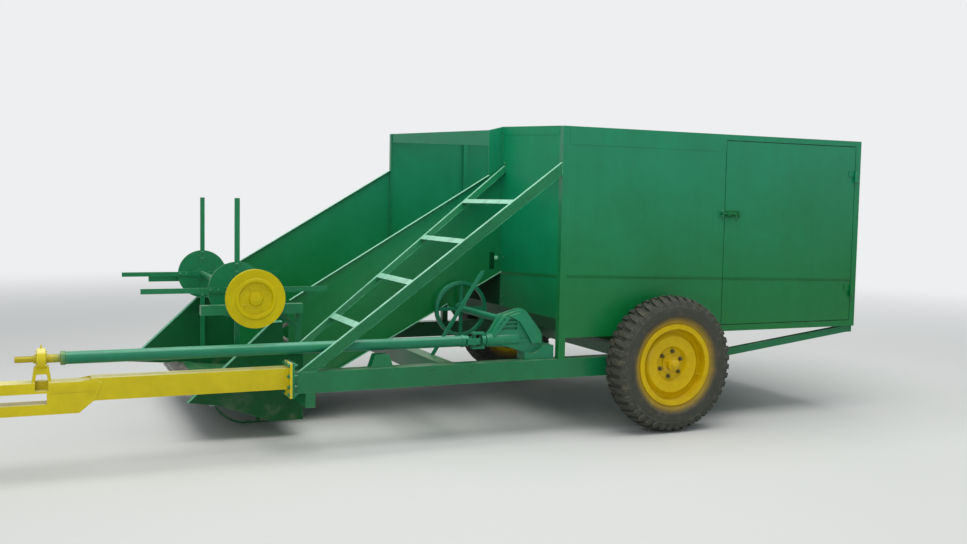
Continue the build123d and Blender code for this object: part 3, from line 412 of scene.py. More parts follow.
class SprayedCoat(Effect):
    """Enamel sprayed by hand: cloudy tone, runs down the sheet, and a paler tone towards the top."""

    name = "sprayed_coat"
    inputs = {"Paint": (0.1, 0.3, 0.2, 1.0), "Bleached": (0.2, 0.4, 0.3, 1.0), "Bleach From": 0.6,
              "Bleach To": 2.2, "Cloud": 0.2, "Runs": 0.1}
    outputs = ("Colour", "Gloss Loss", "Height")

    def fill(self, tree: Tree, given: Sockets) -> Sockets:
        """Lays out the coat's clouds, runs and fine peel."""
        place = tree.place()
        cloud = tree.noise(place, 1.7, 5.0, 0.55, 0.4)
        fine = tree.noise(place, 14.0, 4.0, 0.6)
        runs = tree.noise(tree.stretch(place, (16.0, 16.0, 0.9)), 1.0, 4.0, 0.6)
        peel = tree.noise(place, 420.0, 2.0, 0.5)
        wave = tree.noise(place, 2.6, 2.0, 0.4)
        # Paler towards the top: the tone shifts with height, and the clouds break up the line.
        drift = tree.math("MULTIPLY_ADD", cloud, 0.7, tree.split(place)[2])
        paling = tree.step(drift, given["Bleach From"], given["Bleach To"])
        tone = tree.mix(paling, given["Paint"], given["Bleached"])
        shade, streak, speck = (tree.times(tree.less(part, 0.5), given[share])
                                for part, share in ((cloud, "Cloud"), (runs, "Runs"), (fine, "Cloud")))
        total = tree.plus(tree.plus(shade, streak), tree.plus(speck, 1.0))
        return {"Colour": tree.shade(tone, total),
                "Gloss Loss": tree.plus(tree.times(fine, 0.5), tree.times(cloud, 0.5)),
                "Height": tree.plus(tree.times(peel, 0.06), wave)}


class EdgeWear(Effect):
    """Mask of edges where the coat is thin or rubbed through."""

    name = "edge_wear"
    inputs = {"Width": 0.004, "Amount": 0.5, "Patches": 9.0}

    def fill(self, tree: Tree, given: Sockets) -> Sockets:
        """Compares the rounded and the plain surface direction, and breaks the result up."""
        rounded = tree.add("ShaderNodeBevel", {"Radius": given["Width"]}, samples=4)
        plain = tree.add("ShaderNodeNewGeometry")
        meet = tree.vector("DOT_PRODUCT", rounded.outputs[0], plain.outputs["Normal"])
        edge = tree.step(tree.less(1.0, meet.outputs["Value"]), 0.015, 0.16)
        patch = tree.step(tree.noise(tree.place(), given["Patches"], 6.0, 0.65), 0.38, 0.62)
        return {"Mask": tree.times(tree.times(edge, patch), given["Amount"], True)}


class SettledDust(Effect):
    """Mask of dust on upward faces and of soil thrown up near the ground."""

    name = "settled_dust"
    inputs = {"Amount": 0.4, "Splash Height": 0.5, "Grain": 7.0}

    def fill(self, tree: Tree, given: Sockets) -> Sockets:
        """Lays out the settled and the thrown part of the mask."""
        place = tree.place()
        grain = tree.noise(place, given["Grain"], 8.0, 0.68)
        settled = tree.times(tree.upward(0.35, 0.98), tree.step(grain, 0.32, 0.66))
        low = tree.less(1.0, tree.step(tree.split(place)[2], 0.0, given["Splash Height"]))
        thrown = tree.times(low, tree.step(grain, 0.45, 0.72))
        return {"Mask": tree.times(tree.math("MAXIMUM", settled, thrown), given["Amount"], True)}


class Chips(Effect):
    """Mask of small chips and scratches in a coat."""

    name = "chips"
    inputs = {"Amount": 0.3, "Size": 34.0}

    def fill(self, tree: Tree, given: Sockets) -> Sockets:
        """Keeps the peaks of a fine noise where a coarse one is high."""
        place = tree.place()
        fine = tree.step(tree.noise(place, given["Size"], 6.0, 0.7, 0.6), 0.66, 0.70)
        coarse = tree.step(tree.noise(place, 3.1, 3.0, 0.6), 0.48, 0.72)
        return {"Mask": tree.times(tree.times(fine, coarse), given["Amount"], True)}


class TopSheenAndWear(Effect):
    """Mask of upward faces for a top tone: painted sky sheen, and worn steel on the chute floor."""

    name = "top_sheen_and_wear"
    inputs = {"Amount": 0.6}

    def fill(self, tree: Tree, given: Sockets) -> Sockets:
        """Takes faces that look up and leaves patches of the deeper coat."""
        patch = tree.span(tree.step(tree.noise(tree.place(), 11.0, 6.0, 0.62), 0.3, 0.6), 0.55, 1.0)
        return {"Mask": tree.times(tree.times(tree.upward(0.5, 0.78), patch), given["Amount"], True)}


class Overspray(Effect):
    """Mask of a neighbouring colour sprayed on in front of a place along the machine."""

    name = "overspray"
    inputs = {"Full": -2.62, "Gone": -2.45}

    def fill(self, tree: Tree, given: Sockets) -> Sockets:
        """Fades the mask out along X with a ragged edge."""
        place = tree.place()
        fray = tree.less(tree.noise(place, 14.0, 5.0, 0.6), 0.5)
        ragged = tree.math("MULTIPLY_ADD", fray, 0.12, tree.split(place)[0])
        return {"Mask": tree.less(1.0, tree.step(ragged, given["Full"], given["Gone"]))}


class SprayRing(Effect):
    """Mask of paint sprayed past a ring around the piece's own cross axis."""

    name = "spray_ring"
    inputs = {"Inner": 0.28, "Outer": 0.34}

    def fill(self, tree: Tree, given: Sockets) -> Sockets:
        """Fades the mask out with the distance from the axis."""
        place = tree.place()
        away = tree.vector("LENGTH", tree.stretch(place, (1.0, 0.0, 1.0))).outputs["Value"]
        ragged = tree.math("MULTIPLY_ADD", tree.noise(place, 9.0, 5.0, 0.6), 0.035, away)
        return {"Mask": tree.less(1.0, tree.step(ragged, given["Inner"], given["Outer"]))}


class DrawnSteel(Effect):
    """Tone and roughness of worn bare steel with rust blooms."""

    name = "drawn_steel"
    inputs = {"Steel": (0.3, 0.3, 0.3, 1.0), "Rust": (0.2, 0.08, 0.03, 1.0), "Bloom": 0.4}
    outputs = ("Colour", "Bare", "Roughness", "Height")

    def fill(self, tree: Tree, given: Sockets) -> Sockets:
        """Lays out scratches and blooms."""
        place = tree.place()
        scratch = tree.noise(tree.stretch(place, (30.0, 30.0, 260.0)), 1.0, 5.0, 0.6)
        bloom = tree.noise(place, 22.0, 7.0, 0.68, 0.5)
        rusted = tree.times(tree.step(bloom, 0.42, 0.62), given["Bloom"], True)
        tone = tree.shade(given["Steel"], tree.span(scratch, 0.7, 1.3))
        return {"Colour": tree.mix(rusted, tone, given["Rust"]), "Bare": tree.less(1.0, rusted),
                "Roughness": tree.plus(tree.span(scratch, 0.26, 0.42), tree.times(rusted, 0.4), True),
                "Height": tree.plus(tree.times(scratch, 0.4), tree.times(bloom, 0.8))}


SPRAYED_COAT = SprayedCoat()
EDGE_WEAR = EdgeWear()
SETTLED_DUST = SettledDust()
CHIPS = Chips()
TOP_SHEEN_AND_WEAR = TopSheenAndWear()
OVERSPRAY = Overspray()
SPRAY_RING = SprayRing()
DRAWN_STEEL = DrawnSteel()
DUST_TONE = linear(158, 150, 132)
MADE: dict[str, bpy.types.Material] = {}


# Finishes


@dataclass(frozen=True)
class Finish(ABC):
    """A named surface finish, made into a material on first use."""

    name: str

    @abstractmethod
    def lay(self, tree: Tree) -> Inputs:
        """Lays out the finish.

        Args:
            tree: The material's tree.

        Returns:
            What each input of the surface shader gets, by name.
        """

    def material(self) -> bpy.types.Material:
        """Gives the material, and builds it on first use.

        Returns:
            The shared material.
        """
        if self.name not in MADE:
            made = bpy.data.materials.new(self.name)
            MADE[self.name] = made
            tree = fresh_tree(made)
            shader = tree.add("ShaderNodeBsdfPrincipled", self.lay(tree))
            tree.add("ShaderNodeOutputMaterial", {"Surface": shader.outputs[0]})
        return MADE[self.name]


@dataclass(frozen=True)
class Paint(Finish):
    """Enamel on steel, paler towards the top, with a top tone, dust, chips and rubbed edges."""

    paint: Colour = (0.1, 0.3, 0.2, 1.0)
    bleached: Colour = (0.2, 0.4, 0.3, 1.0)
    paler_from: float = 1.0
    paler_to: float = 2.9
    cloud: float = 0.22
    runs: float = 0.14
    gloss: float = 0.30
    coat: float = 0.08
    wear: float = 0.55
    wear_width: float = 0.0035
    worn_tone: Colour = (0.25, 0.5, 0.4, 1.0)
    chips: float = 0.25
    chip_tone: Colour = (0.06, 0.07, 0.06, 1.0)
    dust: float = 0.35
    splash: float = 0.45
    waviness: float = 0.35
    specular: float = 0.38
    # Top tone on upward faces: a painted sky sheen on most finishes, the worn steel top on the chute floor.
    top_share: float = 0.0
    top_tone: Colour = (0.45, 0.75, 0.6, 1.0)
    spray_full: float = 0.0
    spray_gone: float = 0.0
    spray_tone: Colour = (0.45, 0.4, 0.01, 1.0)

    def lay(self, tree: Tree) -> Inputs:
        """Lays the coat, then its top tone, overspray, wear, chips and dust over it."""
        coat = SPRAYED_COAT.use(tree, Paint=self.paint, Bleached=self.bleached, Bleach_From=self.paler_from,
                                Bleach_To=self.paler_to, Cloud=self.cloud, Runs=self.runs)
        rubbed = EDGE_WEAR.use(tree, Width=self.wear_width, Amount=self.wear)["Mask"]
        chipped = CHIPS.use(tree, Amount=self.chips)["Mask"]
        dusty = SETTLED_DUST.use(tree, Amount=self.dust, Splash_Height=self.splash)["Mask"]
        layers = [(rubbed, self.worn_tone), (chipped, self.chip_tone), (dusty, DUST_TONE)]
        if self.spray_gone:
            sprayed = OVERSPRAY.use(tree, Full=self.spray_full, Gone=self.spray_gone)["Mask"]
            layers.insert(0, (sprayed, self.spray_tone))
        # Top tone on upward faces: painted sky sheen, except on the chute floor, where it is worn steel.
        if self.top_share:
            layers.insert(0, (TOP_SHEEN_AND_WEAR.use(tree, Amount=self.top_share)["Mask"], self.top_tone))
        colour = coat["Colour"]
        for share, tone in layers:
            colour = tree.mix(share, colour, tone)
        dull = tree.span(coat["Gloss Loss"], self.gloss - 0.07, self.gloss + 0.14)
        sunk = tree.less(coat["Height"], tree.times(chipped, 0.12))
        return {"Base Color": colour, "Roughness": tree.math("MULTIPLY_ADD", dusty, 0.35, dull),
                "Specular IOR Level": self.specular, "Coat Weight": self.coat, "Coat Roughness": 0.18,
                "Normal": tree.bump(sunk, self.waviness, 0.006)}


@dataclass(frozen=True)
class Rubber(Finish):
    """Weathered tyre rubber with soil in its grooves and paint sprayed on by the rim."""

    rubber: Colour = (0.05, 0.055, 0.05, 1.0)
    soil: Colour = (0.2, 0.17, 0.12, 1.0)
    spray: Colour = (0.4, 0.25, 0.01, 1.0)
    spray_inner: float = 0.285
    spray_outer: float = 0.365
    worn_tone: Colour = linear(150, 154, 150)

    def lay(self, tree: Tree) -> Inputs:
        """Lays rubber, grey bloom, soil and the sprayed ring."""
        place = tree.place()
        bloom = tree.noise(place, 6.0, 7.0, 0.65, 0.3)
        grain = tree.noise(place, 160.0, 4.0, 0.6)
        soiled = tree.times(tree.step(tree.noise(place, 19.0, 8.0, 0.7), 0.5, 0.72), 0.42)
        rubbed = EDGE_WEAR.use(tree, Width=0.004, Amount=0.5, Patches=14.0)["Mask"]
        ring = SPRAY_RING.use(tree, Inner=self.spray_inner, Outer=self.spray_outer)["Mask"]
        colour = tree.shade(self.rubber, tree.span(bloom, 0.65, 1.4))
        layers = ((soiled, self.soil), (rubbed, self.worn_tone), (tree.times(ring, 0.85), self.spray))
        for share, tone in layers:
            colour = tree.mix(share, colour, tone)
        return {"Base Color": colour, "Roughness": tree.span(bloom, 0.62, 0.86), "Specular IOR Level": 0.35,
                "Normal": tree.bump(tree.plus(grain, bloom), 0.5, 0.002)}


@dataclass(frozen=True)
class Steel(Finish):
    """Worn bare steel with rust blooms."""

    steel: Colour = (0.33, 0.34, 0.34, 1.0)
    rust: Colour = (0.12, 0.05, 0.02, 1.0)
    bloom: float = 0.5

    def lay(self, tree: Tree) -> Inputs:
        """Lays scratched steel and rust."""
        worn = DRAWN_STEEL.use(tree, Steel=self.steel, Rust=self.rust, Bloom=self.bloom)
        dusty = SETTLED_DUST.use(tree, Amount=0.25, Splash_Height=0.3)["Mask"]
        return {"Base Color": tree.mix(dusty, worn["Colour"], DUST_TONE), "Roughness": worn["Roughness"],
                "Metallic": tree.times(worn["Bare"], 0.9), "Normal": tree.bump(worn["Height"], 0.35, 0.0015)}


BIN_GREEN = Paint("bin_green", paint=linear(6, 109, 50), bleached=linear(14, 128, 90),
                  worn_tone=linear(60, 160, 112), paler_from=0.9, paler_to=2.7)
FRAME_GREEN = Paint("frame_green", paint=linear(6, 92, 48), bleached=linear(16, 116, 72), cloud=0.3,
                    gloss=0.27, paler_from=0.1, paler_to=1.6, worn_tone=linear(84, 176, 134), waviness=0.2,
                    wear=0.8)
# Ladder: the pale top tone paints the sky sheen on the rails' upward faces.
LADDER_GREEN = Paint("ladder_green", paint=linear(8, 98, 54), bleached=linear(20, 124, 80), cloud=0.28,
                     gloss=0.26, worn_tone=linear(120, 215, 175), waviness=0.2, wear=1.0, wear_width=0.006,
                     dust=0.1, top_share=0.85, top_tone=linear(150, 216, 184))
# Shaft: the top tone paints a highlight along its top; the yellow near the front is overspray.
SHAFT_GREEN = Paint("shaft_enamel", paint=linear(14, 104, 70), bleached=linear(22, 116, 82), cloud=0.26,
                    gloss=0.32, paler_from=0.2, paler_to=1.4, worn_tone=linear(24, 108, 74), waviness=0.1,
                    wear=0.3, dust=0.06, specular=0.3, top_share=0.3, top_tone=linear(96, 186, 150),
                    spray_full=-2.66, spray_gone=-2.54, spray_tone=linear(176, 160, 10))
CAST_GREEN = Paint("cast_green", paint=linear(6, 100, 62), bleached=linear(18, 124, 86), cloud=0.35,
                   gloss=0.32, paler_from=0.3, paler_to=1.5, worn_tone=linear(84, 170, 134), waviness=0.6,
                   wear=0.7)
# Trim: pale green that paints the highlight along wall and plate edges, together with their worn paint.
TRIM_GREEN = Paint("trim_green", paint=linear(96, 178, 140), bleached=linear(130, 206, 170), cloud=0.3,
                   gloss=0.3, paler_from=0.1, paler_to=1.6, worn_tone=linear(176, 226, 204), waviness=0.2,
                   wear=0.7, dust=0.15)
# Drawbar: the pale top tone paints the light from above on its top faces.
DRAWBAR_YELLOW = Paint("drawbar_enamel", paint=linear(188, 170, 0), bleached=linear(200, 184, 8), cloud=0.3,
                       gloss=0.34, paler_from=0.2, paler_to=1.6, worn_tone=linear(220, 210, 90),
                       waviness=0.2, wear=0.5, chips=0.4, chip_tone=linear(70, 72, 30), dust=0.08,
                       specular=0.28, top_share=0.7, top_tone=linear(226, 218, 140))
WHEEL_YELLOW = Paint("wheel_enamel", paint=linear(196, 164, 0), bleached=linear(204, 174, 4), cloud=0.4,
                     gloss=0.3, paler_from=0.2, paler_to=2.4, worn_tone=linear(224, 194, 70), waviness=0.15,
                     wear=0.5, chips=0.4, chip_tone=linear(66, 52, 20), dust=0.12, splash=0.2, coat=0.0,
                     specular=0.2)
PULLEY_YELLOW = Paint("pulley_yellow", paint=linear(184, 168, 0), bleached=linear(192, 176, 4), cloud=0.3,
                      gloss=0.3, worn_tone=linear(220, 206, 70), waviness=0.15, wear=0.5, chips=0.3,
                      chip_tone=linear(66, 60, 20), dust=0.06, splash=0.2, coat=0.0, specular=0.18)
# Seams: darker green that paints the shadow line under each lapped edge; latch and handles share it.
SEAM_SHADE_GREEN = Paint("seam_shade_green", paint=linear(4, 96, 44), bleached=linear(10, 112, 64),
                   worn_tone=linear(14, 108, 62), gloss=0.4, wear=0.2, dust=0.0, coat=0.0, specular=0.3)
FRONT_GREEN = Paint("front_green", paint=linear(0, 108, 56), bleached=linear(12, 139, 92), paler_from=0.9,
                    paler_to=1.9, worn_tone=linear(50, 158, 110), gloss=0.42, coat=0.0, specular=0.14)
SCRAPED_GREEN = Paint("scraped_green", paint=linear(8, 92, 48), bleached=linear(16, 104, 62), cloud=0.4,
                      gloss=0.44, worn_tone=linear(60, 140, 100), chips=0.7, chip_tone=linear(70, 74, 70),
                      dust=0.13, coat=0.0, specular=0.25)
HEADER_GREEN = Paint("header_green", paint=linear(4, 72, 32), bleached=linear(8, 86, 46), cloud=0.3,
                     gloss=0.34, paler_from=0.1, paler_to=1.6, worn_tone=linear(70, 160, 118), waviness=0.2,
                     wear=0.8, coat=0.0, specular=0.2)
# Chute floor: dark green that paints the shade on its underside; the grey top tone is its worn steel top.
CHUTE_GREEN = Paint("chute_green", paint=linear(4, 66, 34), bleached=linear(6, 74, 40), cloud=0.3, gloss=0.6,
                    worn_tone=linear(20, 84, 54), wear=0.2, dust=0.0, coat=0.0, specular=0.06, top_share=0.8,
                    top_tone=linear(128, 132, 130))
TYRE_RUBBER = Rubber("tyre_rubber", rubber=linear(56, 58, 50), soil=linear(108, 98, 76),
                     spray=linear(186, 152, 12))
# Seals: a dark tone that paints the shade inside the door gaps.
SEAL_SHADE_RUBBER = Rubber("seal_shade_rubber", rubber=linear(34, 44, 38), soil=linear(64, 74, 60), spray_inner=0.0,
                     spray_outer=0.001)
GREASED_STEEL = Steel("greased_steel", steel=linear(104, 98, 58), rust=linear(72, 56, 24), bloom=0.6)
WORN_STEEL = Steel("bare_steel", steel=linear(150, 152, 152), rust=linear(104, 66, 40))


# Mesh drawing


def facing_frame(place: Point, normal: Point, twist: float = 0.0) -> Matrix:
    """Frame at a place with its Z along a direction.

    Args:
        place: Origin.
        normal: Direction of Z.
        twist: Turn about that direction, in radians.

    Returns:
        The frame as a matrix.
    """
    turn = Vector(normal).normalized().to_track_quat("Z", "Y").to_matrix().to_4x4()
    return Matrix.Translation(Vector(place)) @ turn @ Matrix.Rotation(twist, 4, "Z")


def axle_frame(place: Point, out: int = 1) -> Matrix:
    """Frame at a place with its Z across the machine, to the right or the left."""
    return facing_frame(place, (0, out, 0))


def side_frame(y: float) -> Matrix:
    """Frame with its X and Y along the machine's X and Z, and its own Z to the left."""
    return Matrix.Translation((0, y, 0)) @ Matrix.Rotation(math.radians(90), 4, "X")


def end_frame(x: float) -> Matrix:
    """Frame with its X and Y along the machine's Y and Z, and its own Z to the rear."""
    return Matrix(((0, 0, 1, x), (1, 0, 0, 0), (0, 1, 0, 0), (0, 0, 0, 1)))


def rectangle(across: Pair, up: Pair) -> list[Pair]:
    """Corners of a rectangle between two pairs of limits."""
    return [(across[0], up[0]), (across[1], up[0]), (across[1], up[1]), (across[0], up[1])]


def around(count: int, radius: float = 1.0, start: float = 0.0) -> list[Pair]:
    """Places on a circle.

    Args:
        count: Number of places.
        radius: Radius of the circle.
        start: Angle of the first, in radians.

    Returns:
        Pairs across and along the circle's plane.
    """
    angles = [start + math.tau * step / count for step in range(count)]
    return [(radius * math.cos(angle), radius * math.sin(angle)) for angle in angles]


def show(name: str, data: bpy.types.ID) -> bpy.types.Object:
    """Puts a mesh, camera or lamp into the scene.

    Args:
        name: Name of the object.
        data: What it shows.

    Returns:
        The object.
    """
    made = bpy.data.objects.new(name, data)
    bpy.context.scene.collection.objects.link(made)
    return made


class Pen:
    """Draws closed solids into one mesh."""

    def __init__(self) -> None:
        """Starts an empty mesh."""
        self.mesh = bmesh.new()

    def loft(self, rings: Sequence[Sequence[Vector]], closed: bool = False) -> None:
        """Skins rings of points and closes both ends.

        Args:
            rings: Rings with the same number of points, or single points.
            closed: Whether the last ring joins the first.
        """
        made = [[self.mesh.verts.new(point) for point in ring] for ring in rings]
        pairs = list(zip(made, made[1:]))
        if closed:
            pairs.append((made[-1], made[0]))
        for low, high in pairs:
            count = max(len(low), len(high))
            for index in range(count):
                after = (index + 1) % count
                corners = [low[index % len(low)], low[after % len(low)], high[after % len(high)],
                           high[index % len(high)]]
                face = [corner for turn, corner in enumerate(corners) if corner is not corners[turn - 1]]
                self.mesh.faces.new(face)
        if not closed:
            for ring in (made[0], made[-1]):
                if len(ring) > 2:
                    self.mesh.faces.new(ring)

    def prism(self, outline: Sequence[Pair], place: Matrix, depth: float) -> None:
        """Draws a plate from an outline in the frame's own X and Y.

        Args:
            outline: Corners.
            place: Frame of the plate.
            depth: Thickness along the frame's Z.
        """
        self.loft([[place @ Vector((x, y, level)) for x, y in outline] for level in (0.0, depth)])

    def block(self, x: Pair, y: Pair, z: Pair) -> None:
        """Draws a box between three pairs of limits."""
        self.prism(rectangle(x, y), Matrix.Translation((0, 0, z[0])), z[1] - z[0])

    def strip(self, run: tuple[Pair, Pair], y: float, width: float, depth: float, inset: float = 0.0,
              sink: float = 0.0) -> None:
        """Draws a flat strip under a sloping edge.

        Args:
            run: Ends of the edge, as pairs of X and Z.
            y: Plane that the strip lies on.
            width: Its width, down from the edge.
            depth: Its thickness to the left.
            inset: How far it stays short of either end.
            sink: Share of its width by which it lies below the edge.
        """
        start, end = (Vector((x, 0, z)) for x, z in run)
        way = (end - start).normalized()
        under = Vector((way.z, 0, -way.x)) * width
        first = start + way * inset + under * sink
        last = end - way * inset + under * sink
        corners = (first, last, last + under, first + under)
        self.prism([(corner.x, corner.z) for corner in corners], side_frame(y), depth)

    def turned(self, profile: Sequence[Pair], place: Matrix, steps: int = 24) -> None:
        """Draws a solid of revolution about the frame's Z.

        Args:
            profile: Pairs of radius and height, from one end to the other. A radius of 0 is a point.
            place: Frame of the axis.
            steps: Number of sides.
        """
        self.loft([[place @ Vector((x, y, height)) for x, y in around(steps if radius else 1, radius)]
                   for radius, height in profile])

    def ring(self, profile: Sequence[Pair], place: Matrix, steps: int = 48) -> None:
        """Draws a solid ring about the frame's Z from a closed profile of radius and height."""
        self.loft([[place @ Vector((radius * x, radius * y, height)) for radius, height in profile]
                   for x, y in around(steps)], closed=True)

    def bolt(self, place: Point, normal: Point, across: float, twist: float = 0.3, stud: float = 0.0) -> None:
        """Draws a hexagon head or nut on its washer.

        Args:
            place: Centre of the washer's seat.
            normal: Direction away from the seat.
            across: Width across flats.
            twist: Turn of the hexagon.
            stud: Length of thread that stands out of a nut.
        """
        frame = facing_frame(place, normal, twist)
        corner = across / math.sqrt(3)
        washer = across * 0.12
        high = washer + across * 0.6
        rim = across * 0.72
        self.turned([(0, -0.001), (rim, -0.001), (rim, washer * 0.8), (across * 0.68, washer), (0, washer)],
                    frame, 20)
        self.turned([(0, washer * 0.9), (corner, washer * 0.9), (corner, high - across * 0.08),
                     (corner * 0.86, high), (0, high)], frame, 6)
        if stud:
            radius = across * 0.31
            self.turned([(0, high - 0.001), (radius, high - 0.001), (radius, high + stud * 0.8),
                         (radius * 0.75, high + stud), (0, high + stud)], frame, 12)

    def bolt_circle(self, centre: Point, out: int, circle: tuple[int, float, float], across: float,
                    twist: Pair = (0.0, 20.0), stud: float = 0.0) -> None:
        """Draws bolts on a circle about an axis across the machine.

        Args:
            centre: Centre of the circle.
            out: Sign of Y away from the seats.
            circle: Number of bolts, radius, and angle of the first.
            across: Width across flats.
            twist: Turn of each head for its place along X and along Z.
            stud: Length of thread that stands out of a nut.
        """
        for x, z in around(*circle):
            seat = Vector(centre) + Vector((x, 0, z))
            self.bolt(seat, (0, out, 0), across, x * twist[0] + z * twist[1], stud)

    def dome(self, place: Point, normal: Point, radius: float) -> None:
        """Draws a rivet head."""
        arch = [(radius * across, radius * up) for across, up in ((0.92, 0.3), (0.6, 0.55), (0, 0.66))]
        self.turned([(0, -0.0005), (radius, -0.0005), *arch], facing_frame(place, normal), 12)

    def bead(self, path: Sequence[Point], radius: float, seed: int, closed: bool = False) -> None:
        """Draws a rippled weld bead along a run of straight pieces.

        Args:
            path: Corners of the run.
            radius: Half the bead's width.
            seed: Seed of its unevenness.
            closed: Whether the run returns to its start.
        """
        draw = random.Random(seed)
        corners = [Vector(point) for point in path]
        if closed:
            corners.append(corners[0])
        for start, end in zip(corners, corners[1:]):
            along = end - start
            count = max(3, round(along.length / (radius * RIPPLE)))
            frame = facing_frame(start, along)
            rings = []
            for step in range(count + 1):
                swell = (1.0 if step % 2 else RIPPLE_HOLLOW) * draw.uniform(*BEAD_SPREAD)
                if step in (0, count):
                    swell *= BEAD_END
                level = along.length * step / count
                rings.append([frame @ Vector((x, y, level)) for x, y in around(BEAD_SIDES, radius * swell)])
            self.loft(rings)

    def rod(self, path: Sequence[Point], radius: float, sides: int = 12) -> None:
        """Draws a bent round bar along smooth points.

        Args:
            path: Points along the bar.
            radius: Radius of the bar.
            sides: Number of sides.
        """
        points = [Vector(point) for point in path]
        rings = []
        across = (points[1] - points[0]).orthogonal().normalized()
        for index, point in enumerate(points):
            way = (points[min(index + 1, len(points) - 1)] - points[max(index - 1, 0)]).normalized()
            across = (across - way * across.dot(way)).normalized()
            other = way.cross(across)
            rings.append([point + (across * x + other * y) * radius for x, y in around(sides)])
        self.loft(rings)

    def piece(self, name: str, finish: Finish, body: Body = Body.CHASSIS, slot: Slot = Slot.BODY,
              bevel: float = 0.0, origin: Point = (0, 0, 0), smooth: float = SHARP) -> bpy.types.Object:
        """Hands the drawn mesh over as one piece of the machine.

        Args:
            name: Name of the piece.
            finish: Its finish.
            body: Body that it rides on.
            slot: The record's material slot; not used.
            bevel: Width of the rounding of its sharp edges.
            origin: The piece's own origin.
            smooth: Angle in degrees above which an edge stays sharp.

        Returns:
            The piece.
        """
        bmesh.ops.recalc_face_normals(self.mesh, faces=self.mesh.faces)
        if bevel:
            sharp = [edge for edge in self.mesh.edges if len(edge.link_faces) == 2
                     and edge.calc_face_angle(0.0) > math.radians(ROUNDED)]
            bmesh.ops.bevel(self.mesh, geom=sharp, offset=bevel, segments=2, profile=0.6, affect="EDGES",
                            clamp_overlap=True)
        self.mesh.transform(Matrix.Translation(-Vector(origin)))
        for face in self.mesh.faces:
            face.smooth = True
        for edge in self.mesh.edges:
            edge.smooth = len(edge.link_faces) == 2 and edge.calc_face_angle(0.0) < math.radians(smooth)
        data = bpy.data.meshes.new(name)
        self.mesh.to_mesh(data)
        self.mesh.free()
        data.materials.append(finish.material())
        made = show(name, data)
        made.location = origin
        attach(made, body.value)
        LOG.info("piece %s: %d faces on %s", name, len(data.polygons), body.value)
        return made


# Sub-assemblies

Dressing = dict[Finish, Iterable[str]]


@dataclass
class SubAssembly(ABC):
    """A group of frame nodes with the pieces that are added to them."""

    nodes: dict[str, bpy.types.Object]

    @abstractmethod
    def finishes(self) -> Dressing:
        """Gives the finish of each frame node that stays shown."""

    @abstractmethod
    def build(self) -> None:
        """Builds the added pieces."""

    def make(self) -> None:
        """Builds the added pieces and dresses the frame nodes."""
        self.build()
        for finish, names in self.finishes().items():
            for name in names:
                for place in self.nodes[name].material_slots:
                    place.material = finish.material()
                LOG.info("node %s: %s", name, finish.name)


